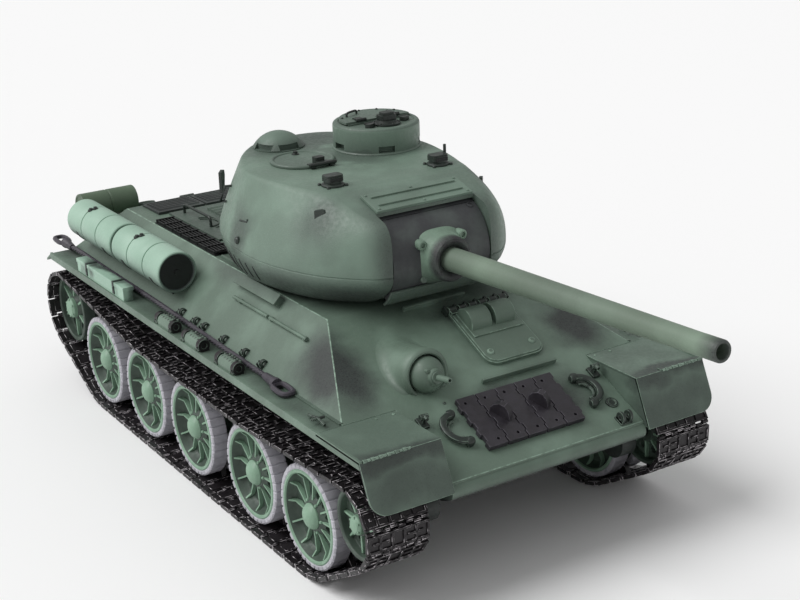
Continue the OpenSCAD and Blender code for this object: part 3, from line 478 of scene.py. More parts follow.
# Black for dark parts, and also painted shadow on the front drum's end face and inside the gun's bore.
BLACK = painted("sooty_black_and_shadow", (18, 20, 20), (9, 9, 10), (50, 58, 54))
TYRE = patchy("tyre_rubber", (166, 165, 172), (184, 183, 190), 0.62)
TRACK = patchy("track_paint", (23, 20, 22), (34, 30, 33), 0.38, 0.2)
LINK = patchy("spare_link_paint", (36, 33, 38), (46, 43, 49), 0.45)
CABLE = patchy("cable_paint", (56, 52, 60), (68, 64, 72), 0.42)
IRON = patchy("fitting_paint", (32, 40, 36), (42, 52, 46), 0.45)
# Bright bevel edges: partly worn, dry-brushed paint, partly painted highlight; on the dark track they are
# near white, painted glints together with wear.
GREEN_EDGE = worn_and_highlit("worn_and_highlit_green", (104, 124, 110), (152, 178, 160), 0.6)
IRON_EDGE = worn_and_highlit("worn_and_highlit_fitting", (38, 46, 42), (118, 138, 124), 0.7)
LINK_EDGE = worn_and_highlit("worn_and_highlit_spare_link", (42, 39, 45), (88, 84, 94), 0.6)
TRACK_EDGE = worn_and_highlit("worn_and_highlit_track", (30, 27, 30), (214, 208, 212), 1.0, 0.45, 0.62, 0.35, 0.2)


def fade(distance, width):
    """1 at or inside a line, falling smoothly to 0 away from it."""
    return math.exp(-((max(distance, 0.0) / width) ** 2))


def cloud(p, size, seed=0.0):
    """Smooth noise from 0 to 1."""
    return 0.5 + 0.5 * noise.noise(Vector((p.x / size + seed, p.y / size, p.z / size)))


# ---- Upper hull ----


def hull_plates():
    """The upper hull as one solid, so that the glacis is a single face from the roof down to the nose."""
    b = Build()
    places = {
        "top": (ROOF_X, GLACIS_TOP_Y, ROOF_Z), "foot": (BASE_X, GLACIS_FOOT_Y, FENDER_Z),
        "step": (TUB_X, GLACIS_FOOT_Y, FENDER_Z), "nose": (TUB_X, NOSE_Y, NOSE_Z),
        "chin": (TUB_X, NOSE_Y, NOSE_Z - 3), "under": (TUB_X, GLACIS_FOOT_Y, FENDER_Z - 3),
        "tail": (BASE_X, TAIL_TOP_Y, FENDER_Z), "deck": (ROOF_X, DECK_END_Y, ROOF_Z),
    }
    right = dict(zip(places, b.points([(-x, y, z) for x, y, z in places.values()])))
    left = dict(zip(places, b.points(places.values())))
    for names in (("top", "foot", "step", "nose"), ("nose", "chin"), ("chin", "under"), ("under", "step"),
                  ("step", "foot", "tail"), ("tail", "deck"), ("deck", "top")):
        b.face([right[n] for n in names] + [left[n] for n in reversed(names)])
    for corner in (right, left):
        b.face([corner[n] for n in ("top", "foot", "tail", "deck")])
        b.face([corner[n] for n in ("step", "nose", "chin", "under")])
    return b


hull_plates().piece("upper_hull_plates", "root", [HULL], None, 0.35, slot="hull_paint",
                    replaces=["upper_hull"], edge=GREEN_EDGE)

trim = Build()
for x, u, half in ((1, 6.5, 17.5), (14.5, 61, 21)):
    trim.box((-half, -0.7, -0.3), (half, 0.7, 2.6), on_glacis(x, u, 0))
for side in (-1, 1):
    trim.box((side * (ROOF_X - 3.4), -32, ROOF_Z - 0.3), (side * (ROOF_X - 2.2), 34, ROOF_Z + 1.6))
    trim.box((-30.5, -38, -0.3), (-29.7, 154, 0.5), on_side(side, 0, 6, 0))
trim.piece("splash_strips", "root", [HULL], lambda p: 0.15, 0.2, slot="hull_paint")


def mg_bulge():
    """The cast bulge round the hull gun, as rows that run from the ring's lip back to the glacis."""
    axis = turn(90 - MG_TILT, "X")
    at = move(*MG_AT) @ axis
    normal = Vector((0, -math.sin(GLACIS_A), math.cos(GLACIS_A)))
    base = Vector((0, GLACIS_TOP_Y, ROOF_Z))
    back = at.to_3x3() @ Vector((0, 0, -1))
    rows = []
    steps = 72
    for i in range(steps):
        a = math.tau * i / steps
        c, s = math.cos(a), math.sin(a)
        lip = [at @ Vector((r * c, r * s, z)) for r, z in ((9.3, -6), (9.3, 1.2), (9.9, 1.8), (10.6, 1.8))]
        edge = [at @ Vector((r * c, r * s, z)) for r, z in ((11.4, 1.2), (12.0, 0.2))]
        height = (edge[-1] - base).dot(normal)
        reach = height / -back.dot(normal)
        knee = edge[-1] + back * max(reach, 0.0)
        knee -= normal * (knee - base).dot(normal)
        middle = Vector(MG_AT)
        middle -= normal * (middle - base).dot(normal)
        out = knee - middle - normal * (knee - middle).dot(normal)
        foot = knee + out.normalized() * 5.5 - normal * 0.15
        flare = []
        for t in (0.12, 0.25, 0.38, 0.5, 0.62, 0.75, 0.88, 1.0):
            start = edge[-1] if reach < 8 else edge[-1] + back * (reach - 8)
            flare.append(start * (1 - t) ** 2 + knee * 2 * t * (1 - t) + foot * t * t)
        body = [edge[-1] + back * max(reach - 8, 0.0) * f for f in (0.33, 0.66)]
        rows.append(lip + edge + body + flare + [foot - normal * 3, at @ Vector((9.3 * c, 9.3 * s, -12))])
    return rows


bulge = Build()
bulge.loft([list(col) for col in mg_bulge()], closed=True)
bulge.piece("mg_housing", "root", [HULL], lambda p: 0.25 * fade(p.z - 78, 6), slot="hull_paint")

ball = Build(move(*MG_AT) @ turn(90 - MG_TILT, "X"))
ball.lathe([(0, -8.4)] + [(8.6 * math.cos(a), 8.6 * math.sin(a)) for a in
                          degrees(-75, 90, 15)] + [(0, 8.6)], steps=40)
ball.tube([(0, 0, 5), (0, 0, 10.5)], 2.9, steps=20)
ball.lathe([(3.0, 7.6), (3.9, 7.6), (3.7, 9.2), (3.0, 9.8)], steps=24)
ball.lathe([(0.7, 8), (1.5, 8), (1.5, 18), (1.3, 20), (0.7, 20), (0.7, 19)], steps=16)
ball.cylinder(0.9, 6, 9.4, move(-3.4, 3.4, -1), 14)
ball.piece("hull_gun", "hull_mg", [HULL], lambda p: 0.1, 0.15, slot="hull_paint", replaces=["mg_ball"])

# ---- Fenders and mudguards ----


def fender_shade(p):
    rub = fade(FENDER_X - 0.6 - abs(p.x), 0.5)
    return max(0.0, min(1.0, (0.12 + 0.4 * cloud(p, 26, 3.0)) * (1 - rub)))


fender = Build()
for side in (-1, 1):
    def xs(a, b):
        return tuple(sorted((side * a, side * b)))
    x0, x1 = xs(TUB_X, FENDER_X)
    fender.box((x0, GLACIS_FOOT_Y, FENDER_Z - 1.2), (x1, 178, FENDER_Z))
    x0, x1 = xs(FENDER_X - 0.9, FENDER_X + 0.5)
    fender.box((x0, GLACIS_FOOT_Y - 36, FENDER_Z - 3.4), (x1, 178, FENDER_Z + 0.5))
    x0, x1 = xs(TUB_X + 6, FENDER_X)
    fender.prism([(178, FENDER_Z), (186, FENDER_Z - 5), (186, FENDER_Z - 6.2), (178, FENDER_Z - 1.2)],
                 x0, x1, YZ)
    x0, x1 = xs(BASE_X - 1, BASE_X + 0.8)
    fender.box((x0, GLACIS_FOOT_Y + 1, FENDER_Z - 0.2), (x1, TAIL_TOP_Y - 1, FENDER_Z + 0.8))
    for y in range(-120, 178, 36):
        x0, x1 = xs(BASE_X + 2, FENDER_X - 1)
        fender.box((x0, y, FENDER_Z - 2.2), (x1, y + 1.4, FENDER_Z - 1.0))
fender.slice(6.0)
fender.piece("fender_plates", "root", [HULL], fender_shade, 0.18, 1, slot="hull_paint", replaces=["fenders"],
             edge=GREEN_EDGE)

FOLD_Y, FLAP_FOOT_Z, FLAP_RUN = -172.3, 55.1, 10.0
slope = math.degrees(math.atan2(FENDER_Z - FLAP_FOOT_Z, FLAP_RUN))
flap_length = math.hypot(FENDER_Z - FLAP_FOOT_Z, FLAP_RUN)
width = FENDER_X - TUB_X

guard = Build()
for side in (-1, 1):
    flip = mirror(side)
    guard.box((TUB_X, FOLD_Y, FENDER_Z - 1.1), (FENDER_X + 0.5, GLACIS_FOOT_Y, FENDER_Z), flip)
    corner = arc(width - 8 + 0.5, 8, 8, -90, 0, 8)
    flap = move(TUB_X, FOLD_Y, FENDER_Z) @ turn(slope, "X") @ move(0, -flap_length, 0)
    guard.prism([(0, 0)] + corner + [(width + 0.5, flap_length), (0, flap_length)], -1.1, 0, flip @ flap)
    cheek = [(GLACIS_FOOT_Y, FENDER_Z - 0.6), (-172.6, FENDER_Z - 0.6), (-181.6, 56), (NOSE_Y, NOSE_Z - 3)]
    guard.prism(cheek, TUB_X, TUB_X + 1.1, flip @ YZ)
    for i in range(12):
        hinge = flip @ move(TUB_X + 15.6 + i * 1.95, -172.4, FENDER_Z + 0.1) @ turn(90, "Y")
        guard.cylinder(0.85 if i % 2 else 0.65, 0, 1.75, hinge, 10)
    guard.box((TUB_X + 15, -172.2, FENDER_Z - 0.1), (TUB_X + 39.4, -169.4, FENDER_Z + 0.5), flip)
    for x in (TUB_X + 3, TUB_X + 12):
        guard.bolt(x, GLACIS_FOOT_Y - 3, FENDER_Z, 0.7, 0.5, flip)
guard.piece("mudguard_plates", "root", [GUARD], None, 0.16, 1, slot="dark_paint",
            replaces=["front_mudguards"], edge=GREEN_EDGE)

# ---- Glacis fittings ----

ON_HATCH = on_glacis(19.5, 15.5, 0.1)
HATCH_HALF, HATCH_LENGTH = 16.5, 38.0

hatch = Build(ON_HATCH)
outline = ([(HATCH_HALF, 0), (-HATCH_HALF, 0)] + arc(-HATCH_HALF + 6, -HATCH_LENGTH + 6, 6, 180, 270, 8)
           + arc(HATCH_HALF - 6, -HATCH_LENGTH + 6, 6, 270, 360, 8))
hatch.prism(outline, 0, 1.6)
hatch.prism([(x * 0.955, -1 + y * 0.955) for x, y in outline], 1.5, 2.3)
hatch.box((-HATCH_HALF + 2.2, -20.4, 2.1), (HATCH_HALF - 2.2, -2.6, 3.1))
for x0, x1 in ((-13.2, -1.7), (0.7, 12.0)):
    hood = [(-9.6 + 6.8 * math.cos(a), 2.6 + 6.2 * math.sin(a)) for a in degrees(0, 181, 12)]
    hatch.prism(hood, x0, x1, YZ)
hatch.mat = 1
for i in range(6):
    x = -14.6 + i * 5.84
    hatch.tube([(x - 2.1, -0.3, 2.5), (x + 2.1, -0.3, 2.5)], 1.75, steps=14)
    hatch.box((x - 1.9, -3.6, 2.0), (x + 1.9, -0.6, 3.6))
hatch.mat = 0
for x in (-12, 12):
    hatch.bolt(x, -31, 2.2, 1.9, 0.9)
hatch.piece("driver_hatch_lid", "driver_lid", [HULL, IRON], None, 0.28, slot="hull_paint",
            replaces=["driver_hatch"], edge=GREEN_EDGE)

pins = Build(ON_HATCH)
for i in range(7):
    x = -17.5 + i * 5.84
    pins.box((x - 0.6, -1.6, -0.3), (x + 0.6, 2.6, 3.6))
pins.tube([(-17.6, 2.6, 0.8), (17.6, 2.6, 0.8)], 0.9)
pins.piece("driver_hatch_hinge", "root", [IRON], bevel=0.15, slot="dark_paint")

nose = Build()
nose.prism([(NOSE_Y + 3, NOSE_Z + 1.0), (NOSE_Y - 0.4, NOSE_Z - 0.4)]
           + arc(NOSE_Y + 1.9, NOSE_Z - 4.6, 4.0, 120, 235, 8)
           + [(-170, 46.5), (-170, NOSE_Z - 3)], -TUB_X, TUB_X, YZ)
nose.slice(8.0)
# The beam is darker along its lower edge: painted shade.
nose.piece("nose_beam", "root", [HULL], lambda p: 0.1 + 0.9 * fade(p.z - 49, 2.5), 0.25, slot="hull_paint")

fittings = Build()
for x, sign in ((-36.5, -1), (39.5, 1)):
    at = on_glacis(x, 83, 0)
    bow = [(sign * -2.5 + sign * 6.6 * math.cos(a), 7.8 * math.sin(a), 2.6) for a in
           degrees(-95, 96, 10)]
    fittings.tube(bow, 1.75, at, 10, 0.85)
    inner = [(x0 * 0.62 - sign, y0 * 0.62, 1.2) for x0, y0, _ in bow]
    fittings.tube(inner, 0.8, at, 8)
    for y in (-8.4, 8.4):
        fittings.lathe([(0, -2.2), (1.5, -2.0), (2.2, -0.9), (2.2, 0.9), (1.5, 2.0), (0, 2.2)],
                       at @ move(sign * -3.4, y, 2.2) @ turn(90, "Y"), 16)
        fittings.box((sign * -3.4 - 1.4, y - 1.6, -0.4), (sign * -3.4 + 1.4, y + 1.6, 1.6), at)
for x in (-46.5, 49.2):
    at = on_glacis(x, 73.5, 0)
    fittings.box((-2.1, -3.2, -0.3), (2.1, 3.2, 1.2), at)
    fittings.box((-0.9, -0.9, 1), (0.9, 0.9, 4.4), at)
    fittings.tube([(-2.1, 0.4, 4.4), (2.1, 0.4, 4.4)], 1.2, at)
    fittings.tube([(0, 0.4, 4.4), (0, -2.4, 5.2)], 0.9, at)
plug = [(0, -0.3), (3.1, -0.3), (3.0, 0.7), (2.0, 0.9), (1.7, 0.5), (0, 0.5)]
fittings.lathe(plug, on_glacis(46, 93, 0), 24)
fittings.box((-3.4, -2.8, -0.2), (3.4, 2.8, 0.7), on_glacis(44.5, 104, 0))
for x in (-2.2, 2.2):
    fittings.lathe([(1.1, x - 0.7), (2.7, x - 0.7), (2.7, x + 0.7), (1.1, x + 0.7)],
                   on_glacis(44.5, 104, 2.5) @ turn(90, "Y"), 20)
    fittings.box((x - 0.7, -2.5, 0.2), (x + 0.7, 2.5, 1.7), on_glacis(44.5, 104, 0))
for x, u in ((-30, 66), (-44, 70), (30, 50)):
    fittings.bolt(x, 0, 0, 0.8, 0.5, on_glacis(0, u, 0))
fittings.piece("tow_fittings", "root", [IRON], bevel=0.2, slot="dark_paint", replaces=["glacis_fittings"],
               edge=IRON_EDGE)


def link_outline(half_w, half_l, tab, phase):
    """A track plate's outline: its two long edges carry tabs that mesh with the neighbours'."""
    n = 8
    step = 2 * half_l / n
    right = []
    left = []
    for i in range(n):
        y0, y1 = -half_l + i * step, -half_l + (i + 1) * step
        out = tab if (i + phase) % 2 else -tab * 0.2
        right += [(half_w + out, y0 + 0.25), (half_w + out, y1 - 0.25)]
        out = tab if (i + phase) % 2 == 0 else -tab * 0.2
        left += [(-half_w - out, y0 + 0.25), (-half_w - out, y1 - 0.25)]
    return right + left[::-1]


spare = Build()
for i in range(-2, 3):
    at = on_glacis(i * 10.7, 83, 0.2)
    plate = Build(at)
    plate.prism(link_outline(4.7, 15.4, 0.85, 0), 0, 2.6)
    holes = Build(at)
    for x, y in ((-1.4, 11.6), (1.2, -11.8)):
        holes.cylinder(0.75, -1, 4, move(x, y, 0), 12)
    plate.cut(holes)
    spare.add(plate)
    if abs(i) == 1:
        fin = [(-5.0, 2.2), (5.2, 2.2), (5.6, 4.4), (4.4, 7.0), (2.2, 8.8), (-0.4, 9.0), (-2.6, 7.6),
               (-4.2, 5.0)]
        spare.prism(fin, -1.7, 1.7, at @ turn(28, "Z") @ YZ)
spare.piece("spare_track_links", "root", [LINK], bevel=0.18, slot="dark_steel", replaces=["spare_links"],
            edge=LINK_EDGE)

# ---- Stowage on the fenders ----

CABLE_RIGHT = [(-84.6, 168, 82.0), (-84.2, 150, 82.0), (-83.2, 112, 80.8), (-82.6, 60, 80.2),
               (-83.0, 20, 80.0),
               (-83.8, -30, 80.0), (-84.2, -76, 79.8)]


def smooth_path(points, steps=8):
    """Catmull-Rom points through a path."""
    p = [Vector(q) for q in points]
    p = [2 * p[0] - p[1]] + p + [2 * p[-1] - p[-2]]
    out = []
    for a, b, c, d in zip(p, p[1:], p[2:], p[3:]):
        for i in range(steps):
            out.append(catmull(a, b, c, d, i / steps))
    return out + [p[-2]]


def strands(build, path, r, count, pitch, at):
    """Wires twisted round a path."""
    pts = smooth_path(path, 26)
    for k in range(count):
        run, wire = 0.0, []
        for i, p in enumerate(pts):
            d = (pts[min(i + 1, len(pts) - 1)] - pts[max(i - 1, 0)]).normalized()
            side = d.cross(Vector((0, 0, 1))).normalized()
            up = side.cross(d)
            a = math.tau * (run / pitch + k / count)
            wire.append(p + (side * math.cos(a) + up * math.sin(a)) * r * 0.5)
            run += (pts[min(i + 1, len(pts) - 1)] - p).length
        build.tube(wire, r * 0.62, at, 6)


cable = Build()
for side in (-1, 1):
    flip = mirror(-side)
    strands(cable, CABLE_RIGHT, 1.35, 3, 9.0, flip)
    for end, toward, drop in ((Vector(CABLE_RIGHT[-1]), -1, -0.4), (Vector(CABLE_RIGHT[0]), 1, 0.3)):
        at = flip @ move(*end) @ turn(0 if toward > 0 else 180, "Z") @ turn(drop * 8, "X")
        cable.lathe([(0, -3), (1.9, -3), (2.6, 5), (3.0, 6), (3.0, 8), (0, 8)], at @ turn(-90, "X"), 20)
        loop = [(3.2 * signed_power(math.cos(a), 0.6), 13.5 + 6.0 * signed_power(math.sin(a), 0.6), 0)
                for a in [math.tau * i / 28 for i in range(29)]]
        cable.tube(loop, 1.35, at, 8)
cable.piece("tow_cable_ropes", "root", [CABLE], slot="dark_steel", replaces=["tow_cables"])

clips = Build()
for side in (-1, 1):
    flip = mirror(-side)
    for y in (28.5, 12, 2, -20, -42, -60):
        clips.box((-80.6, y - 1.3, FENDER_Z - 0.2), (-76.0, y + 1.3, FENDER_Z + 1.6), flip)
        clips.lathe([(1.0, -1.1), (2.1, -1.1), (2.1, 1.1), (1.0, 1.1)],
                    flip @ move(-78.2, y, FENDER_Z + 3.4) @ turn(90, "X"), 14)
        clips.tube([(-80.4, y, FENDER_Z + 1.0), (-81.8, y, FENDER_Z + 4.4), (-80.2, y, FENDER_Z + 5.6)], 0.55,
                   flip, 8)
    clips.tube([(-88, -134, FENDER_Z + 1.4), (-88, -128, FENDER_Z + 2.6), (-88, -120, FENDER_Z + 1.2)], 0.8,
               flip, 8)
    clips.tube([(-91, -128, FENDER_Z + 2.4), (-84.6, -128, FENDER_Z + 2.4)], 0.7, flip, 8)
clips.piece("cable_clips", "root", [IRON], bevel=0.15, slot="dark_paint", edge=IRON_EDGE)

grouser = Build()
for side in (-1, 1):
    flip = mirror(-side)
    for y in (21, -11, -48):
        grouser.mat = 0
        body = [(-93.0, FENDER_Z - 0.1), (-93.2, FENDER_Z + 2.6)] + arc(-90.0, FENDER_Z + 2.4, 3.1, 170, 20,
                                                                        8) \
            + [(-87.0, FENDER_Z - 0.1)]
        grouser.prism(body, -y - 6.6, -y + 6.6, flip @ XZ)
        grouser.mat = 1
        for s in (-1, 1):
            at = flip @ move(-90.2, y + s * 8.4, FENDER_Z + 3.0) @ turn(90, "X")
            grouser.lathe([(1.5, -1.5), (3.2, -1.5), (3.2, 1.5), (1.5, 1.5)], at, 18)
            grouser.lathe([(0, -0.7), (1.6, -0.7), (1.6, 0.7), (0, 0.7)], at, 14)
            grouser.box((-93.0, y + s * 8.4 - 1.2, FENDER_Z - 0.2),
                        (-87.4, y + s * 8.4 + 1.2, FENDER_Z + 1.2), flip)
            grouser.tube([(-93.2, y + s * 6.9, FENDER_Z + 1.0), (-93.6, y + s * 8.4, FENDER_Z + 2.4),
                          (-93.2, y + s * 9.9, FENDER_Z + 1.0)], 0.6, flip, 8)
        for row in range(3):
            for k in range(5):
                spot = flip @ move(-91.0 + row * 2.0, y - 5.2 + k * 2.6 + (row % 2) * 0.8, FENDER_Z
                                   + 5.0 - abs(row - 1) * 0.5)
                grouser.lathe([(0, -0.8), (0.95, -0.8), (0.95, 0.3), (0.5, 0.9), (0, 0.9)], spot, 8)
grouser.piece("grouser_packs", "root", [HULL, TRACK], None, 0.2, slot="dark_steel", replaces=["grousers"],
              edge=IRON_EDGE)

box = Build()
box.box((-93.2, 71, FENDER_Z), (-87.5, 136, FENDER_Z + 5.9))
box.box((-93.5, 70.4, FENDER_Z + 5.7), (-87.1, 136.6, FENDER_Z + 7.9))
box.mat = 1
for y in (84, 122):
    box.box((-93.8, y - 1.1, FENDER_Z + 1.2), (-86.9, y + 1.1, FENDER_Z + 8.3))
    box.box((-94.0, y - 0.6, FENDER_Z + 3.4), (-93.3, y + 0.6, FENDER_Z + 5.2))
box.piece("stowage_bin", "root", [BOX, IRON], None, 0.25, slot="drum_paint", replaces=["stowage_box"])


DRUM_X, DRUM_Z, DRUM_R = -75.4, 98.8, 11.0


def drum(build, y0, y1, flip):
    """A fuel drum: a shell with two grooves, a recessed cap at each end, a filler, and its two saddles."""
    length = y1 - y0
    r = DRUM_R
    at = flip @ move(DRUM_X, y0, DRUM_Z) @ turn(-90, "X")
    third = length / 3
    shell = [(0, 1.4), (r - 2.6, 1.4), (r - 1.6, 0.9), (r - 1.1, 0), (r - 0.4, 0), (r, 0.5)]
    for z in (third, 2 * third):
        shell += [(r, z - 0.9), (r - 0.15, z - 0.55), (r - 0.75, z - 0.45), (r - 0.75, z + 0.45),
                  (r - 0.15, z + 0.55), (r, z + 0.9)]
    shell += [(r, length - 0.5), (r - 0.4, length), (r - 1.1, length), (r - 1.6, length - 0.9),
              (r - 2.6, length - 1.4),
              (0, length - 1.4)]
    build.lathe(shell, at, 72)
    build.mat = 1
    for z, way in ((1.4, -1), (length - 1.4, 1)):
        build.lathe([(0, z - 0.4), (1.2, z - 0.4), (1.2, z + way * 1.0), (0, z + way * 1.0)], at, 14)
    mid = (y0 + y1) / 2 + 8
    build.mat = 2
    for dx, dy in ((0, 0), (-2.2, 1.4)):
        build.lathe([(0, -1), (1.7, -1), (1.7, 0.7), (1.0, 1.0), (1.0, 1.6), (0, 1.6)],
                    flip @ move(DRUM_X - 2 + dx, mid + dy, DRUM_Z + r - 0.5 - abs(dx) * 0.35), 12)
    for y in (y0 + 12, y1 - 12):
        build.box((-74.2, y - 1.5, FENDER_Z + 6), (-67.0, y + 1.5, 96), flip)
        strap = arc(DRUM_X, DRUM_Z, r + 0.3, 200, 380, 18) + arc(DRUM_X, DRUM_Z, r - 0.7, 380, 200, 18)
        build.prism(strap, -y - 1.3, -y + 1.3, flip @ XZ)
    build.mat = 0


drums = Build()
RIGHT, LEFT = Matrix.Identity(4), mirror(-1)
drum(drums, 38, 99, RIGHT)
drum(drums, 102, 164, RIGHT)
drum(drums, 102, 164, LEFT)


# Painted shade: darker under the drums, on their inner sides next to the hull, and round the rim of the front
# drum's end face.
def drum_shade(p):
    under = fade(p.z - 90, 7) * 0.75
    inner = fade(abs(abs(p.x) - 64), 6) * 0.4
    front = fade(p.y - 39.6, 1.2) * fade(math.hypot(abs(p.x) + DRUM_X, p.z - DRUM_Z) - 9.6, 0.6)
    return min(1.0, max(under, inner, front))


drums.piece("fuel_drum_shells", "root", [MINT, BLACK, IRON], drum_shade, 0.0, slot="drum_paint",
            replaces=["fuel_tanks"])
# A black disc over the front drum's recessed end face: painted shadow.
caps = Build(move(DRUM_X, 39.5, DRUM_Z) @ turn(90, "X"))
caps.lathe([(0, 0), (9.2, 0), (9.2, 0.6), (0, 0.7)], steps=48)
caps.lathe([(0, 0.5), (1.5, 0.5), (1.3, 1.3), (0, 1.3)], steps=16)
caps.piece("drum_front_face", "root", [BLACK], slot="dark_paint")

# ---- Rails and side-plate trim ----

rails = Build()
for side in (-1, 1):
    flip = mirror(-side)
    rails.tube(smooth_path([(-33, 84, ROOF_Z + 0.6), (-33, 84.4, ROOF_Z + 5.4), (-33, 88, ROOF_Z + 6.4),
                            (-33, 101, ROOF_Z + 6.4),
                            (-33, 114, ROOF_Z + 6.4), (-33, 117.6, ROOF_Z + 5.4), (-33, 118, ROOF_Z + 0.6)],
                            4), 0.85, flip, 10)
rails.mat = 1
rails.box((-2.2, -21, -0.3), (2.2, 21, 3.4), on_side(-1, -20, 4, 0))
rails.box((-3.0, -21.6, 3.2), (3.0, 21.6, 4.0), on_side(-1, -20, 4, 0))
for y0, y1 in ((-37, -1), (1, 37)):
    rails.tube([(0, y0, 1.4), (0, y1, 1.4)], 0.95, on_side(-1, -41, 13, 0), 10)
rails.tube([(0, -40, 1.4), (0, 40, 1.4)], 0.95, on_side(1, -30, 10, 0), 10)
for y in (-35, -2, 30):
    rails.box((-1.2, y - 0.8, -0.3), (1.2, y + 0.8, 1.6), on_side(-1, -41, 13, 0))
    rails.box((-1.2, y - 0.8, -0.3), (1.2, y + 0.8, 1.6), on_side(1, -30, 10, 0))
rails.piece("hand_rails", "root", [IRON, HULL], bevel=0.15, slot="dark_paint", replaces=["handrails"])

# ---- Engine deck and tail ----

deck = Build()
deck.box((-40, 60, ROOF_Z - 0.5), (40, 124, ROOF_Z + 1.2))
hood = Build()
hood.box((-26, 69, ROOF_Z + 0.4), (26, 115, ROOF_Z + 6))
deck.cut(hood)
deck.box((-25, 70, ROOF_Z + 0.2), (25, 114, ROOF_Z + 1.9))
for i in range(8):
    y = 75 + i * 4.9
    deck.prism([(y, ROOF_Z + 1.7), (y + 3.6, ROOF_Z + 1.7), (y + 3.9, ROOF_Z + 3.3), (y + 2.6, ROOF_Z + 3.4)],
               -21, 21, YZ)
for r in (8.5, 11.5):
    for side in (-1, 1):
        path = [(x * side, y, ROOF_Z + 1.4) for x, y in arc(33.5, 92, r, 100, 260, 14)]
        deck.tube(path, 0.45, steps=8)
deck.mat = 1
for i in range(3):
    x0 = -45 + i * 30.4
    deck.prism([(127, ROOF_Z - 0.4), (127, ROOF_Z + 1.6), (150, ROOF_Z + 0.9), (151, ROOF_Z - 0.4)], x0, x0
               + 29.2, YZ)
    for k in range(6):
        y = 129.5 + k * 3.3
        top = ROOF_Z + 1.6 - (y - 127) * 0.03
        deck.prism([(y, top - 0.6), (y + 2.2, top - 0.6), (y + 2.5, top + 0.7), (y + 1.5, top + 0.8)], x0 + 2,
                   x0 + 27.2, YZ)
deck.mat = 2
for side in (-1, 1):
    flip = mirror(side)
    deck.box((41.6, 38, ROOF_Z - 0.4), (53.4, 114, ROOF_Z + 0.5), flip)
    for i in range(6):
        deck.box((42.3 + i * 1.95, 39, ROOF_Z + 0.3), (43.0 + i * 1.95, 113, ROOF_Z + 1.9), flip)
    for i in range(8):
        deck.box((42, 39.4 + i * 10.4, ROOF_Z + 0.3), (53, 40.3 + i * 10.4, ROOF_Z + 2.3), flip)
    for y in (38.6, 64, 88, 112.4):
        deck.tube([(46 + (y > 60) * 2, y, ROOF_Z + 1.2), (52.4, y, ROOF_Z + 1.9)], 0.5, flip, 8)
deck.slice(7.0)
# Darker below z 105.8, which leaves the louvre tops lighter: painted shade in the gaps of the deck, with soft
# noise.
deck.piece("engine_deck_covers", "root", [HULL, HULL_DARK, BLACK], lambda p: 0.4 * fade(p.z - 105.8, 0.8)
           + 0.2 * cloud(p, 16), 0.2, 1,
           slot="hull_paint", replaces=["engine_deck"])

tail = Build(on_tail(0, 0, 0))
tail.lathe([(0, -0.5), (14.4, -0.5), (14.4, 1.0), (13.8, 1.7), (11.4, 1.8), (10.8, 2.9), (9, 3.2), (0, 3.4)],
           move(0, 24, 0), 64)
tail.bolt_ring(16, 12.6, 1.7, 0.8, 0.7, (0, 24), 0)
for x in (-33, 33):
    tail.lathe([(0, -0.4), (9, -0.4), (9, 1.6), (7.6, 2.6), (0, 2.8)], move(x, 24, 0), 40)
    tail.lathe([(3.9, 1), (3.9, 10.2), (4.8, 10.6), (5.5, 9.8), (5.9, 1.5), (5.9, -2.0), (3.9, -2.0)],
               move(x, 24, 3.3) @ turn(35, "X"), 36)
    tail.bolt_ring(6, 7.7, 2.0, 0.8, 0.7, (x, 24))
for x in (-14, 14):
    tail.box((x - 4, 1.5, -0.3), (x + 4, 5, 1.6))
    tail.tube([(x - 4.4, 3.2, 2.0), (x + 4.4, 3.2, 2.0)], 1.3, steps=14)
tail.piece("tail_fittings", "root", [HULL], lambda p: 0.3 + 0.3 * cloud(p, 14), 0.2, slot="hull_paint",
           replaces=["rear_panel"])

cans = Build()
for side in (-1, 1):
    at = mirror(-side) @ on_tail(0, 18.9, 16.5)
    axis = at @ move(-73, 0, 0) @ turn(90, "Y")
    cans.lathe([(0, 0.6), (6.4, 0.6), (7.2, 0), (7.9, 0), (8.2, 0.4), (8.2, 16.4), (7.7, 16.7), (7.7, 17.3),
                (8.2, 17.6),
                (8.2, 33.4), (7.9, 33.8), (7.2, 33.8), (6.4, 33.2), (0, 33.2)], axis, 56)
    cans.lathe([(0, -0.5), (1.6, -0.5), (1.6, 1), (0, 1)], axis, 16)
    for x in (-64, -48):
        cans.box((x - 1.4, -2.4, -16.7), (x + 1.4, 2.4, -6), at)
cans.piece("smoke_canister_pair", "root", [CANISTER], None, 0.15, slot="dark_paint",
           replaces=["smoke_canisters"])

# ---- Turret ----

FOOT = [(0, -71), (26, -68), (42, -55), (52, -35), (57, -12), (57, 8), (51, 26), (40, 42), (24, 54), (0, 58)]
WIDE = [(0, -86.5), (28, -86), (43, -76), (57, -55), (65, -25), (64, 5), (57, 32), (44, 57), (27, 74),
        (0, 78)]
ROOF = [(0, -50), (24, -49.6), (38, -48.6), (44, -34), (49, -14), (51, 8), (46, 26), (35, 45), (20, 60),
        (0, 64)]
SHOULDER = [6, 6, 3.2, 1.6, 1.1, 1.05, 1.05, 1.15, 1.3, 1.3]


def outline_at(points, t):
    """A point at t, from 0 to len(points) - 1, on the smooth half outline, which is mirrored at both ends."""
    n = len(points) - 1
    i = min(int(t), n - 1)

    def at(k):
        if k < 0:
            return Vector((-points[-k][0], points[-k][1]))
        if k > n:
            return Vector((-points[2 * n - k][0], points[2 * n - k][1]))
        return Vector(points[k])

    return catmull(at(i - 1), at(i), at(i + 1), at(i + 2), t - i)


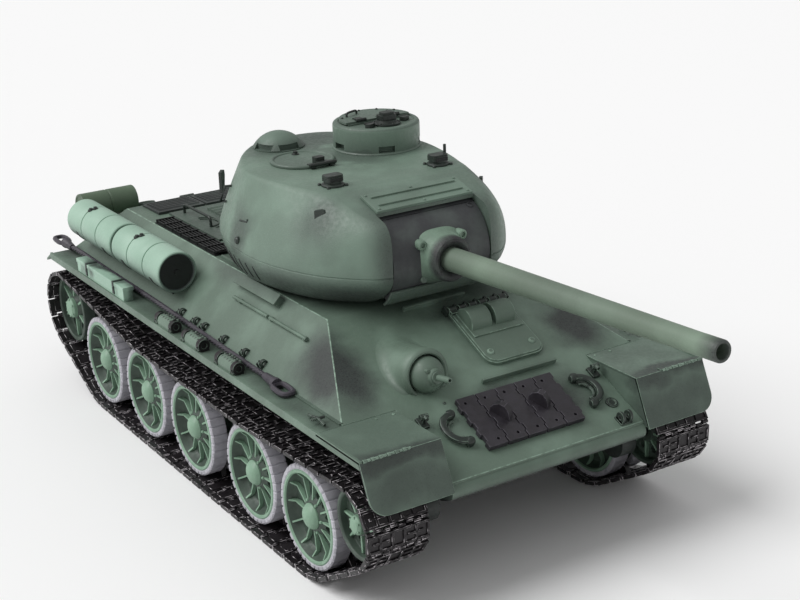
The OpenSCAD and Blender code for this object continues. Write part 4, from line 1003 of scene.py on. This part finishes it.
def casting_point(t, level):
    """A point on the turret's side: level 0 is the foot, 1 the widest line and 2 the roof's edge."""
    wide = outline_at(WIDE, t)
    if level < 1:
        p = wide.lerp(outline_at(FOOT, t), (1 - level) ** 2)
        return Vector((p.x, p.y, mix(TURRET_FOOT_Z, TURRET_WIDE_Z, level)))
    bend = mix(SHOULDER[int(t)], SHOULDER[min(int(t) + 1, len(SHOULDER) - 1)], t - int(t))
    p = wide.lerp(outline_at(ROOF, t), (level - 1) ** bend)
    return Vector((p.x, p.y, mix(TURRET_WIDE_Z, TURRET_ROOF_Z, level - 1)))


VENT_AT = (13.7, 45.5)
ON_BROW = ON_TURRET @ move(0, -49, TURRET_ROOF_Z) @ turn(16.7, "X")


def casting_ring(level, inset=0.0, steps=72):
    half = [casting_point(i * (len(WIDE) - 1) / steps, level) for i in range(steps + 1)]
    row = half + [Vector((-p.x, p.y, p.z)) for p in half[-2:0:-1]]
    return [tuple(Vector((p.x, p.y, 0)) * (1 - inset / math.hypot(p.x, p.y)) + Vector((0, 0, p.z)))
            for p in row]


def turret_shade(p):
    """Painted shade on the underside, round the gun and round the side fittings at the front, broken up by
    soft noise.
    """
    y = p.y - TURRET_Y
    under = fade(p.z - 112, 8) * 0.7
    gun = fade(abs(abs(p.x) - 28) - 1, 6) * fade(y + 62, 10) * 0.55
    brow = fade(math.hypot(abs(p.x) - 45, y + 52) - 3, 9) * fade(abs(p.z - 142), 14) * 0.6
    return min(1.0, max(under, gun, brow) * (0.6 + 0.8 * cloud(p, 20, 9.0)))


shell = Build(ON_TURRET)
levels = [0, 0.12, 0.25, 0.4, 0.55, 0.7, 0.82, 0.92, 0.975]
rows = [casting_ring(v) for v in levels]
rows += [casting_ring(0.99, 0.35), casting_ring(1.0, 0.35), casting_ring(1.015)]
rows += [casting_ring(1.04 + 0.955 * i / 30) for i in range(30)]
top = casting_ring(2.0)
rows.append([(x * 0.992, y * 0.992, TURRET_ROOF_Z - 0.35) for x, y, _ in top])
rows.append([(x * 0.978, y * 0.978, TURRET_ROOF_Z) for x, y, _ in top])
for f in (0.8, 0.6, 0.4, 0.2):
    rows.append([(x * f, y * f + (1 - f) * 5, TURRET_ROOF_Z) for x, y, _ in top])
shell.loft(rows)
opening = Build(ON_TURRET)
cheek = SHIELD_X + 0.6
opening.prism([(-110, TURRET_FOOT_Z - 1), (-110, 170), (-72.2, 170), (-72.2, 147.6), (-64, 149.6),
               (-42, 149.6),
               (-42, TURRET_FOOT_Z + 8), (-62, TURRET_FOOT_Z - 1)], -cheek, cheek, YZ)
brow = Build(ON_BROW)
brow.box((-80, -60, 0), (80, 0, 30))
shell.cut(brow)
shell.cut(opening)
shell.piece("turret_casting", "turret", [TURRET], turret_shade, 0.0, slot="hull_paint",
            replaces=["turret_shell"])

marks = Build(ON_TURRET)
for side in (-1, 1):
    for i in range(7):
        t = 4.05 + i * 0.26
        path = []
        for k in range(6):
            p = casting_point(t + 0.035 * k, 0.22 + 0.1 * k)
            path.append((p.x * side, p.y, p.z))
        marks.tube(path, 0.32, steps=6)
marks.piece("casting_marks", "turret", [BLACK], slot="dark_paint")

lip = Build(ON_TURRET)
lip.prism(arc(TRUNNION_Y, TRUNNION_Z, SHIELD_R + 1.6, 210, 237, 10)
          + arc(TRUNNION_Y, TRUNNION_Z, SHIELD_R + 0.4, 237, 210, 10),
          -cheek, cheek, YZ)
lip.box((-cheek, -66, TURRET_FOOT_Z - 0.1), (cheek, -42, TURRET_FOOT_Z + 2))
lip.piece("shield_lip", "turret", [TURRET], lambda p: 0.5, 0.2, slot="hull_paint")

fit = Build(ON_TURRET)
for x in (-30, 30):
    at = move(x, -38.5, TURRET_ROOF_Z)
    fit.lathe([(0, -0.3), (5.6, -0.3), (5.6, 0.8), (5.0, 1.3), (4.2, 1.5), (4.2, 2.6), (0, 2.6)], at, 32)
    for k in range(4):
        fit.bolt(7.0 * math.cos(math.tau * (k + 0.5) / 4), 6.0 * math.sin(math.tau * (k + 0.5) / 4), 0.2, 0.9,
                 0.8, at)
    fit.prism(rounded(8.6, 7.4, 1.4), 2.4, 4.6, at)
    fit.prism(rounded(9.2, 6.2, 1.6), 4.2, 5.4, at)
    fit.mat = 1
    fit.box((-3.4, -4.1, 2.6), (3.4, -3.2, 4.0), at)
    fit.mat = 0
aerial_stub = [(0, 0), (1.5, 0), (1.3, 1.6), (0.8, 2.2), (0.75, 9.0), (0, 9.2)]
fit.lathe(aerial_stub, move(35.6, -36.5, TURRET_ROOF_Z), 14)
for x, y, z, a in ((-46.5, -52, 145, -140), (46.5, -52, 145, 140), (-46, 50, 142, -45), (46, 50, 142, 45)):
    at = move(x, y, z) @ turn(a, "Z")
    fit.prism([(-1.5, -5.6), (2.4, -4.4), (4.0, 2.6), (3.6, 5.4), (2.0, 5.8), (-1.5, 5.0)], -0.8, 0.8, at
              @ YZ)
for side in (-1, 1):
    p = casting_point(6.3, 1.62)
    q = casting_point(6.3, 1.38)
    out = Vector((p.x, p.y - 5, 0)).normalized() * 3.2
    fit.tube([(side * v.x, v.y, v.z) for v in (p, p + out, q + out, q)], 0.75, steps=8)
    slit = casting_point(4.75, 1.42)
    fit.tube([(side * (slit.x + 0.2), slit.y - 4.2, slit.z - 0.8),
              (side * (slit.x + 0.3), slit.y + 3.4, slit.z - 1.6)], 0.55, steps=8)
    fit.tube([(side * (slit.x + 0.2), slit.y - 4.4, slit.z + 0.7),
              (side * (slit.x + 0.2), slit.y - 4.2, slit.z - 2.6)], 0.5, steps=8)
    plug = casting_point(4.8, 1.12)
    fit.lathe([(0, -1.5), (1.9, -1.5), (1.9, 0.7), (1.2, 1.5), (0, 1.6)],
              move(side * plug.x, plug.y, plug.z) @ turn(side * 90, "Y"), 18)
fit.piece("turret_fittings", "turret", [IRON, BLACK], bevel=0.18, slot="hull_paint",
          replaces=["roof_fittings"])

vents = Build(ON_TURRET)
for side in (-1, 1):
    at = move(side * VENT_AT[0], VENT_AT[1], TURRET_ROOF_Z)
    dome = [(0, -0.4), (13.5, -0.4), (13.6, 0.8)] + [(15.76 * math.sin(a), 15.76 * math.cos(a) - 7.36)
                                                     for a in
                                                     degrees(56, 4, -6)] + [(0, 8.4)]
    vents.lathe(dome, at, 56)
slots = Build(ON_TURRET)
for side in (-1, 1):
    for a in (-90, 90, 200 if side < 0 else -20):
        at = move(side * VENT_AT[0], VENT_AT[1], TURRET_ROOF_Z) @ turn(a, "Z")
        slots.box((10.0, -5.6, 0.5), (16, 5.6, 3.4), at)
slots.cylinder(CUPOLA_R + 1.0, -2, 20, move(*CUPOLA_AT, TURRET_ROOF_Z), 64)
vents.cut(slots)
# The domes are darker towards the roof: painted shade at their foot.
vents.piece("ventilator_domes", "turret", [TURRET], lambda p: 0.35 * fade(p.z - 158, 3) + 0.15, 0.25,
            slot="hull_paint")

cover = Build(ON_BROW)
cover.prism([(-26.8, -24.4), (26.8, -24.4), (26.8, -9), (-26.8, -9)], 0.1, 1.5)
for y in (-20, -13):
    cover.prism([(-23.5, y - 0.5), (23.5, y - 0.5), (23.5, y + 0.5), (-23.5, y + 0.5)], 1.3, 2.3)
for x in (-24.8, 0, 24.8):
    for y in (-22.8, -10.4):
        cover.bolt(x, y, 1.5, 0.75, 0.6)
cover.piece("shield_cover_plate", "turret", [TURRET], lambda p: 0.1, 0.2, slot="hull_paint",
            replaces=["mantlet_cover"])

# ---- Cupola and hatches ----

cupola = Build(ON_TURRET @ move(*CUPOLA_AT, TURRET_ROOF_Z))
r, h = CUPOLA_R, CUPOLA_H
cupola.lathe([(0, -3), (r + 0.6, -3), (r + 0.6, 0.4), (r, 1.0), (r, h - 2.2)]
             + [(r - 1.8 + 1.8 * math.cos(a), h - 1.8 + 1.8 * math.sin(a))
             for a in degrees(10, 91, 16)] + [(r - 2.8, h), (r - 3.0, h - 0.5), (0, h - 0.5)], steps=96)
slots = Build(ON_TURRET @ move(*CUPOLA_AT, TURRET_ROOF_Z))
for k in range(5):
    slots.box((CUPOLA_R - 3.6, -4.2, 1.2), (CUPOLA_R + 3, 4.2, 4.4), turn(k * 72 - 108, "Z"))
cupola.cut(slots)
cupola.box((-r + 4.5, -2.9, h - 0.8), (r - 4.5, -2.2, h + 0.25))
cupola.mat = 1
cupola.lathe([(0, h - 0.7), (7.2, h - 0.7), (7.2, h + 0.5), (5.6, h + 0.9), (5.2, h + 1.9), (0, h + 2.0)],
             move(0, -10.4, 0), 36)
cupola.bolt_ring(6, 6.4, h + 0.4, 0.8, 0.8, (0, -10.4))
cupola.prism(rounded(9.4, 6.0, 1.3), h + 1.6, h + 4.6, move(0, -10.4, 0))
cupola.prism(rounded(7.0, 5.0, 1.1), h + 4.4, h + 5.8, move(0.4, -10.2, 0))
for x, y in ((11.5, -9.4), (-10.8, -12.0)):
    cupola.prism(rounded(5.2, 3.2, 0.6), h - 0.4, h + 1.7, move(x, y, 0) @ turn(25, "Z"))
    cupola.tube([(x - 2.4, y + 1.6, h + 1.4), (x + 2.4, y + 1.6, h + 1.4)], 0.6)
# Darker on its top rim, and towards the roof, where the darkening is painted shade at its foot.
cupola.piece("cupola_drum", "turret", [TURRET, IRON], lambda p: 0.35 if p.z > TURRET_ROOF_Z + CUPOLA_H - 1.2
             else
             0.3 * fade(p.z - 158, 4), 0.2, slot="hull_paint", replaces=["cupola"])

lid = Build(ON_TURRET @ move(*CUPOLA_AT, TURRET_ROOF_Z + CUPOLA_H + 0.15))
start = math.degrees(math.asin(-2.2 / (r - 3.4)))
lid.prism(arc(0, 0, r - 3.4, start, 180 - start, 40), 0, 1.2)
lid.mat = 1
for x in (-10, 10):
    lid.tube([(x - 3, -1.8, 1.4), (x + 3, -1.8, 1.4)], 0.95)
    lid.box((x - 2.2, -1.8, 0.9), (x + 2.2, 3.2, 1.9))
lid.tube(smooth_path([(-12, 9, 1.0), (-11.6, 9.4, 2.9), (-8, 11, 3.2), (-4.4, 12.4, 2.9), (-4, 12.6, 1.0)],
                     4), 0.6)
for k in range(5):
    a = math.radians(25 + k * 32)
    lid.bolt((r - 5.2) * math.cos(a), (r - 5.2) * math.sin(a), 1.2, 0.7, 0.6)
lid.mat = 0
lid.box((-0.5, 0, 1.0), (0.5, r - 6, 1.5), turn(-52, "Z"))
lid.piece("cupola_lid", "cupola_lid", [TURRET, IRON], lambda p: 0.4, 0.15, slot="hull_paint",
          replaces=["cupola_hatch"])

loader = Build(ON_TURRET @ move(*LOADER_AT, TURRET_ROOF_Z + 0.15))
r = LOADER_R
loader.lathe([(0, 0), (r, 0), (r, 0.9), (r - 0.5, 1.5), (r - 1.3, 1.7), (r - 1.9, 1.4), (r - 2.2, 0.9),
              (0, 0.9)], steps=72)
loader.mat = 1
loader.prism(rounded(5.4, 4.2, 0.8), 0.6, 4.4, move(2.5, -r + 4.6, 0))
loader.prism(rounded(6.6, 2.8, 0.6), 1.0, 2.6, move(3.0, -r + 1.4, 0))
loader.tube([(-5.5, -r - 0.8, 1.9), (9.5, -r - 0.8, 1.9)], 0.9)
for x in (-3.5, 7.5):
    loader.box((x - 1.4, -r - 1.2, 0.3), (x + 1.4, -r + 3.2, 2.1))
loader.lathe([(0, 0.5), (2.0, 0.5), (2.0, 1.3), (1.2, 1.5), (1.1, 2.6), (0, 2.7)], move(2, r - 5.5, 0), 18)
loader.piece("loader_lid", "loader_lid", [TURRET, IRON], lambda p: 0.35, 0.16, slot="hull_paint",
             replaces=["loader_hatch"])

# ---- Gun ----

GUN = ON_TURRET @ move(0, TRUNNION_Y, TRUNNION_Z) @ turn(90 - REST_ELEVATION, "X")
shield = Build(ON_TURRET)
outer = arc(TRUNNION_Y, TRUNNION_Z, SHIELD_R, 96, 230, 44)
inner = arc(TRUNNION_Y, TRUNNION_Z, SHIELD_R - 2.6, 230, 96, 44)
shield.prism(outer + inner, -SHIELD_X, SHIELD_X, YZ)
seams = Build(ON_TURRET)
for a in (152, 205):
    at = move(0, TRUNNION_Y, TRUNNION_Z) @ turn(a - 90, "X")
    seams.box((-30, SHIELD_R - 0.5, -0.22), (30, SHIELD_R + 1, 0.22), at)
shield.cut(seams)
for x, a in ((-23.5, 195), (23.5, 172), (-23.5, 150), (23.5, 210)):
    at = move(x, TRUNNION_Y, TRUNNION_Z) @ turn(a - 90, "X") @ move(0, SHIELD_R, 0) @ turn(-90, "X")
    shield.lathe([(0, -0.5), (1.7, -0.5), (1.7, 0.35), (1.1, 0.5), (1.0, -0.2), (0, -0.2)], at, 18)
shield.slice(3.0)


# Painted shade along the sides, where the shield meets the turret's cheeks, and along its underside.
def shield_shade(p):
    return 0.25 * fade(abs(abs(p.x) - 26), 4) + 0.3 * fade(p.z - 112, 8)


shield.piece("gun_shield", "gun", [SHIELD], shield_shade, 0.2, 1, slot="dark_paint", replaces=["mantlet"])

boss = Build(GUN)
rows = []
for z, rx, ry, power in ((15, 14.4, 13.2, 3.0), (19.6, 14.0, 12.8, 3.0), (21.2, 12.6, 12.0, 2.7),
                         (23.5, 11.7, 11.5, 2.4), (26, 11.2, 11.2, 2.1),
                         (28.5, 11.0, 11.0, 2.0), (30.2, 10.7, 10.7, 2.0), (31.4, 9.9, 9.9, 2.0),
                         (31.8, 8.8, 8.8, 2.0),
                         (31.4, 7.6, 7.6, 2.0), (30.4, 6.6, 6.6, 2.0), (29, 5.9, 5.9, 2.0)):
    rows.append([(rx * signed_power(math.cos(a), 2 / power), ry * signed_power(math.sin(a), 2 / power), z)
                 for a in [math.tau * k / 56 for k in range(56)]])
boss.loft(rows)
for x, y in ((-11.6, 7.6), (11.0, 8.6)):
    boss.lathe([(0, 15), (2.4, 15), (2.4, 23.6), (1.8, 24.2), (1.2, 24.2), (1.2, 23.2), (0, 23.2)],
               move(x, y, 0), 20)
boss.lathe([(0, 15), (1.7, 15), (1.7, 21.4), (0.9, 21.6), (0, 21.6)], move(-10.4, -9.4, 0), 16)


# Painted shade round the boss's front lip, where the tube goes in, and along its underside.
def boss_shade(p):
    local = GUN.inverted() @ p
    return max(fade(abs(local.z - 30.6) - 1.2, 1.6) * (0.75 + 0.3 * cloud(p, 3)),
               0.55 * fade(local.y + 12, 6))


boss.piece("gun_boss", "gun",
           [painted("boss_paint", (108, 130, 114), (40, 38, 42), (160, 190, 168), cloud=90.0, depth=0.25)],
           boss_shade, slot="hull_paint")

barrel = Build(GUN)
tube = [(3.05, 8), (5.7, 8), (5.7, 60)] + [(mix(5.7, 4.55, f), mix(60, 196, f))
                                           for f in (0.25, 0.5, 0.75, 1.0)]
tube += [(4.6, 196.6), (4.6, 206.6), (4.3, GUN_LENGTH), (3.35, GUN_LENGTH), (3.05, GUN_LENGTH - 0.5)]
tube += [(3.05, GUN_LENGTH - f) for f in (6, 14, 40, 90, 140)]
barrel.lathe(tube, steps=56)
# A black disc inside the bore: painted shadow.
barrel.mat = 1
barrel.lathe([(0, 150), (3.1, 150), (3.1, 151), (0, 151)], steps=24)


# Darker at the muzzle and in a broad band along the middle; the darkening at the root, where the tube leaves
# the boss, is painted shade.
def barrel_shade(p):
    d = (GUN.inverted() @ p).z
    return max(0.8 * fade(GUN_LENGTH - d, 5), 0.5 * fade(d - 31, 6),
               0.25 * fade(abs(d - 120) - 10, 40) if d > 60 else 0)


barrel.piece("gun_tube", "gun",
             [painted("barrel_paint", (104, 120, 104), (38, 38, 42), (158, 182, 162), cloud=24.0), BLACK],
             barrel_shade, slot="hull_paint", replaces=["gun_barrel"])

# ---- Road wheels, idlers and sprockets ----


def tyre_rows(way):
    """Cross-sections of a tyre round the wheel. Every sixth lies deeper, as a slit across the tread."""
    rim = WHEEL_R - 2.6
    rows = []
    for k in range(216):
        a = math.tau * k / 216
        cut = 0.0 if k % 6 else 0.6
        section = [(rim - 0.1, 2.2), (WHEEL_R - 0.6 - cut, 2.2), (WHEEL_R - cut, 2.8),
                   (WHEEL_R - cut, 10.4 - cut),
                   (WHEEL_R - 0.7 - cut, 11.0 - cut), (rim + 0.5, 11.0 - cut * 0.5), (rim - 0.1, 10.6)]
        rows.append([(r * math.cos(a), r * math.sin(a), way * z) for r, z in section])
    return rows


def wheel_mesh():
    """One double road wheel about the X axis, its outer face towards +X."""
    b = Build()
    rim = WHEEL_R - 2.6
    for s in (1, -1):
        at = Matrix.Identity(4) if s > 0 else turn(180, "Y")
        face = Build(at)
        face.lathe([(2.5, 2.8), (14, 2.8), (rim, 2.3), (rim, 10.6), (rim - 0.5, 11.1), (rim - 1.5, 11.1),
                    (rim - 2.0, 10.4),
                    (rim - 2.6, 7.4), (rim - 4.0, 5.6), (15, 5.0), (9.5, 6.6), (7.2, 8.4), (2.5, 8.4)],
                    steps=72)
        holes = Build(at)
        for k in range(12):
            a = 30 * k + 15
            oval = [(11.6 + 2.3 * math.cos(c), 1.75 * math.sin(c))
                    for c in [math.tau * j / 16 for j in range(16)]]
            holes.prism(oval, 0, 12, turn(a, "Z"))
        face.cut(holes)
        b.add(face)
        b.mat = 2
        for k in range(12):
            b.prism([(7.0, 5.2), (7.0, 8.0), (11, 7.6), (17.5, 7.2), (rim - 2.1, 9.6), (rim - 2.1, 5.0)],
                    -0.42, 0.42,
                    at @ turn(30 * k, "Z") @ turn(90, "X"))
        b.mat = 1
        b.loft(tyre_rows(s), closed=True)
    b.mat = 2
    b.lathe([(2.5, -3), (6, -3), (6, 3), (2.5, 3)], steps=32)
    b.lathe([(0, 6.6), (6.2, 6.6), (6.2, 9.0)] + [(5.9 * math.cos(a), 9.0 + 3.2 * math.sin(a)) for a in
                                                  degrees(10, 90, 16)] + [(0, 12.2)], steps=36)
    b.bolt_ring(6, 7.6, 8.2, 0.75, 0.7)

    # Painted shade in the dish of each disc, round the lightening holes.
    def shade(p):
        d = math.hypot(p.x, p.y)
        return 0.85 * fade(abs(d - 13.5) - 2, 4.0) * (abs(p.z) < 7.15)

    for f in b.bm.faces:
        middle = f.calc_center_median()
        if f.material_index == 0 and math.hypot(middle.x, middle.y) > WHEEL_R - 4.5 and abs(middle.z) > 9.8:
            f.material_index = 2
    return b.mesh("road_wheel", [DISC, TYRE, RIM], shade, Matrix.Scale(MM, 4) @ turn(90, "Y"))


def end_wheel_mesh(r, name, holes, hole_at, hole_r, hub, teeth=False):
    """An idler or a sprocket about the X axis: two rims, webs with holes, spokes and a hub."""
    b = Build()
    for s in (1, -1):
        at = Matrix.Identity(4) if s > 0 else turn(180, "Y")
        face = Build(at)
        face.lathe([(2.5, 2.6), (r, 2.6), (r, 9.0), (r - 0.6, 9.4), (r - 1.6, 9.4), (r - 2.2, 8.8),
                    (r - 2.4, 5.4), (hub + 1.5, 5.4),
                    (hub, 7.8), (2.5, 7.8)], steps=64)
        cuts = Build(at)
        for k in range(holes):
            cuts.cylinder(hole_r, 0, 12, turn(360 / holes * (k + 0.5), "Z") @ move(hole_at, 0, 0), 20)
        face.cut(cuts)
        b.add(face)
        b.mat = 1
        for k in range(holes):
            b.prism([(hub - 0.5, 5), (hub - 0.5, 7.4), (r - 2.3, 7.0), (r - 2.3, 5)], -0.6, 0.6,
                    at @ turn(360 / holes * k, "Z") @ turn(90, "X"))
    if teeth:
        for k in range(6):
            b.cylinder(2.0, -3, 3, turn(60 * k, "Z") @ move(r - 2.6, 0, 0), 18)
    b.lathe([(2.5, -3), (hub, -3), (hub, 3), (2.5, 3)], steps=32)
    b.lathe([(0, 7), (hub - 0.6, 7), (hub - 0.8, 9.6), (hub - 2.2, 10.8), (0, 11.2)], steps=32)
    b.bolt_ring(6, hub - 1.6, 10.0, 0.6, 0.8, phase=0)

    # Painted shade round the holes in the webs.
    def shade(p):
        d = math.hypot(p.x, p.y)
        return 0.8 * fade(abs(d - hole_at) - hole_r, 2.5) * (abs(p.z) < 6.9)

    return b.mesh(name, [DISC, RIM], shade, Matrix.Scale(MM, 4) @ turn(90, "Y"))


def fit_wheels():
    """Each master mesh is shown at every wheel; those on the tank's right face -X."""
    wheel = wheel_mesh()
    idler = end_wheel_mesh(IDLER[2], "idler", 8, 9.8, 1.9, 5.2)
    sprocket = end_wheel_mesh(SPROCKET[2], "sprocket", 6, 12.6, 3.2, 6.6, True)
    for tag, side in (("r", -1), ("l", 1)):
        rotation = (0, 0, math.pi) if side < 0 else (0, 0, 0)
        places = [(f"road_wheel_{tag}{i + 1}", f"wheel_{tag}{i + 1}_body", wheel, y, WHEEL_Z, 0.12,
                   "tyre_rubber")
                  for i, y in enumerate(WHEEL_YS)]
        places.append((f"idler_{tag}", f"idler_{tag}_body", idler, IDLER[0], IDLER[1], 0.2, "hull_paint"))
        places.append((f"sprocket_{tag}", f"sprocket_{tag}_body", sprocket, SPROCKET[0], SPROCKET[1], 0.2,
                       "hull_paint"))
        for node, body, mesh, y, z, bevel, slot in places:
            o = bpy.data.objects.new(node + "_looks", mesh)
            bpy.context.scene.collection.objects.link(o)
            o.location = (side * TRACK_X * MM, (y + MID_Y) * MM, z * MM)
            o.rotation_euler = rotation
            mod = o.modifiers.new("edges", "BEVEL")
            mod.width, mod.segments, mod.limit_method = bevel * MM, 1, "ANGLE"
            mod.angle_limit = math.radians(35)
            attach(o, body)
            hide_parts(node)


fit_wheels()

# ---- Tracks ----


def track_line():
    """The closed line through the middle of the track's plates, as [y, z]."""
    mid = LINK_T / 2
    wraps = [(WHEEL_YS[4] + 2, mid + 27, 27), (SPROCKET[0], SPROCKET[1], SPROCKET[2] + mid + 0.9),
             (WHEEL_YS[3], WHEEL_Z, WHEEL_R + mid + 0.4), (WHEEL_YS[1], WHEEL_Z, WHEEL_R + mid + 0.4),
             (IDLER[0], IDLER[1], IDLER[2] + mid + 1.1), (WHEEL_YS[0] - 2, mid + 27, 27)]

    def tangent(a, b):
        dy, dz = b[0] - a[0], b[1] - a[1]
        return math.degrees(math.atan2(dz, dy) - math.asin((b[2] - a[2]) / math.hypot(dy, dz)))

    def slope(a, b):
        return math.degrees(math.atan2(a[1] + a[2] - b[1] - b[2], abs(a[0] - b[0])))

    def bend(c, start, end):
        return [(c[0] + c[2] * math.cos(math.radians(a - 90)), c[1] + c[2] * math.sin(math.radians(a - 90)))
                for a in [mix(start, end, i / 24) for i in range(25)]]

    heads = [0, tangent(wraps[0], wraps[1]), 180 + slope(wraps[1], wraps[2]), 180,
             180 - slope(wraps[4], wraps[3]),
             360 + tangent(wraps[4], wraps[5])]
    top = [(w[0], w[1] + w[2]) for w in wraps]
    return (bend(wraps[0], heads[0], heads[1]) + bend(wraps[1], heads[1], heads[2])
            + [(top[2][0] + 8, top[2][1] + 0.9), top[2], top[3], (top[3][0] - 8, top[3][1] + 0.5)]
            + bend(wraps[4], heads[4], heads[5]) + bend(wraps[5], heads[5], 360)
            + [(wraps[0][0], wraps[0][1] - wraps[0][2])])


def link_parts(pitch):
    """One track link as boxes (low, high) and pins (x0, x1, y, z, r). Its inner face is up."""
    half = TRACK_W / 2
    p = pitch / 2
    t = LINK_T / 2
    boxes = [((-half, -p + 1.3, -t + 0.7), (half, p - 1.3, t - 0.3))]
    for y in (-p + 1.9, p - 1.9):
        boxes.append(((-half, y - 0.55, -t), (half, y + 0.55, -t + 1.0)))
    for i in range(6):
        x = mix(-half + 0.6, half - 0.6, i / 5)
        boxes.append(((x - 0.6, -p + 1.6, -t), (x + 0.6, p - 1.6, -t + 1.0)))
    for x0, x1 in ((-half + 3, -4.6), (4.6, half - 3)):
        boxes.append(((x0, -0.6, -t), (x1, 0.6, -t + 1.0)))
        boxes.append(((x0, -p + 2.4, t - 0.5), (x1, p - 2.4, t)))
    pins = []
    step = TRACK_W / 8
    for i in range(8):
        y = (p - 0.55) if i % 2 else (-p + 0.55)
        pins.append((-half + i * step + 0.25, -half + (i + 1) * step - 0.25, y, 0.1, 1.05))
    return boxes, pins


def build_track(tag, side):
    line = [Vector(p) for p in track_line()]
    steps = [(b - a).length for a, b in zip(line, line[1:])]
    pitch = sum(steps) / LINKS

    def at(s):
        s %= sum(steps)
        for a, b, d in zip(line, line[1:], steps):
            if s <= d:
                return a.lerp(b, s / d) if d else a
            s -= d
        return line[-1]

    boxes, pins = link_parts(pitch)
    b = Build()
    for i in range(LINKS):
        p, q = at(i * pitch), at((i + 1) * pitch)
        mid, run = (p + q) / 2, q - p
        place = move(side * TRACK_X, mid.x, mid.y) @ Matrix.Rotation(math.atan2(run.y, run.x), 4, "X")
        for lo, hi in boxes:
            b.box(lo, hi, place)
        for x0, x1, y, z, r in pins:
            b.cylinder(r, x0, x1, place @ move(0, y, z) @ turn(90, "Y"), 8)
        if i % 2 == 0:
            b.prism([(-2.6, 0.9), (2.6, 0.9), (1.2, 7.2), (0.5, 8.0), (-0.5, 8.0), (-1.2, 7.2)], -1.35, 1.35,
                    place @ YZ)
    b.piece(f"track_{tag}_links", "root", [TRACK], bevel=0.16, segments=1, slot="track_metal",
            replaces=[f"track_{tag}"], edge=TRACK_EDGE)


for tag, side in (("r", -1), ("l", 1)):
    build_track(tag, side)

# ---- CAD nodes that stay: they only need their paint ----


def plain_finish(name, base, second, roughness, metallic=0.0, scale=300.0):
    """A material with a soft change of tone and a fine grain."""
    s = Shader(name)
    tone = s.blend(s.ramp(s.noise(scale, 3.0), 0.35, 0.65), srgb(*base), srgb(*second))
    return s.set(Base_Color=tone, Metallic=metallic,
                 Roughness=s.ramp(s.noise(scale * 4), 0.3, 0.7, roughness - 0.05, roughness + 0.08),
                 Normal=s.bump(s.noise(scale * 8), 0.04))


KEPT = {
    # Painted shade: the lower hull, battery door and turret ring take the darkened underside colour.
    "lower_hull": UNDER_SHADE,
    "battery_door": UNDER_SHADE,
    "hull_screws": plain_finish("zinc_screws", (150, 150, 155), (175, 175, 180), 0.35, 0.9),
    "battery_pack": plain_finish("cell_wrap", (30, 60, 130), (36, 72, 150), 0.3),
    "control_board": plain_finish("board", (20, 80, 40), (30, 96, 50), 0.45),
    "speaker": plain_finish("speaker_black", (24, 24, 26), (34, 34, 38), 0.5),
    "power_switch": plain_finish("switch_black", (20, 20, 22), (32, 32, 34), 0.4),
    "gearboxes": plain_finish("nylon", (190, 188, 178), (205, 204, 196), 0.5),
    "turret_motor": plain_finish("motor_can", (160, 160, 165), (182, 182, 188), 0.32, 0.95),
    "turret_pinion": plain_finish("brass", (186, 150, 80), (204, 170, 100), 0.3, 0.95),
    "turret_ring": UNDER_SHADE,
}
for node, material in KEPT.items():
    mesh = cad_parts[node].data
    mesh.materials.clear()
    mesh.materials.append(material)
arm_paint = painted("arm_paint", (46, 52, 50), (22, 22, 24), (96, 110, 102))
for node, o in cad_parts.items():
    if node.startswith("arm_"):
        o.data.materials.clear()
        o.data.materials.append(arm_paint)

# ---- Floor, light and camera ----


def studio():
    bpy.ops.mesh.primitive_plane_add(size=30, location=(0, 0, -0.0002))
    floor = bpy.context.object
    floor.name = "floor"
    s = Shader("studio_white")
    floor.data.materials.append(s.set(Base_Color=(0.93, 0.93, 0.93, 1), Roughness=0.9))
    world = bpy.data.worlds.new("studio")
    bpy.context.scene.world = world
    world.use_nodes = True
    world.node_tree.nodes["Background"].inputs["Color"].default_value = (1, 1, 1, 1)
    world.node_tree.nodes["Background"].inputs["Strength"].default_value = 0.5
    sun = bpy.data.lights.new("soft_sun", "SUN")
    sun.energy, sun.angle = 2.2, math.radians(45)
    o = bpy.data.objects.new("soft_sun", sun)
    bpy.context.scene.collection.objects.link(o)
    o.rotation_euler = Vector((1.0, -0.5, -1.3)).to_track_quat("-Z", "Y").to_euler()


def camera():
    """The photograph's view: from the front right, 20 degrees above the horizon."""
    data = bpy.data.cameras.new("camera")
    data.lens, data.sensor_width = 69.98, 36.0
    data.clip_start, data.clip_end = 0.05, 50
    o = bpy.data.objects.new("camera", data)
    bpy.context.scene.collection.objects.link(o)
    place, target = Vector((-382.2, -669.92, 354.43)), Vector((-69.2, -168.5, 141.3))
    look = (target - place).to_track_quat("-Z", "Y")
    roll = Matrix.Rotation(math.radians(-2.04), 4, "Z")
    o.matrix_world = Matrix.Translation(TO_ROW @ place) @ look.to_matrix().to_4x4() @ roll
    bpy.context.scene.camera = o


studio()
camera()
bpy.context.scene.view_settings.view_transform = "Standard"
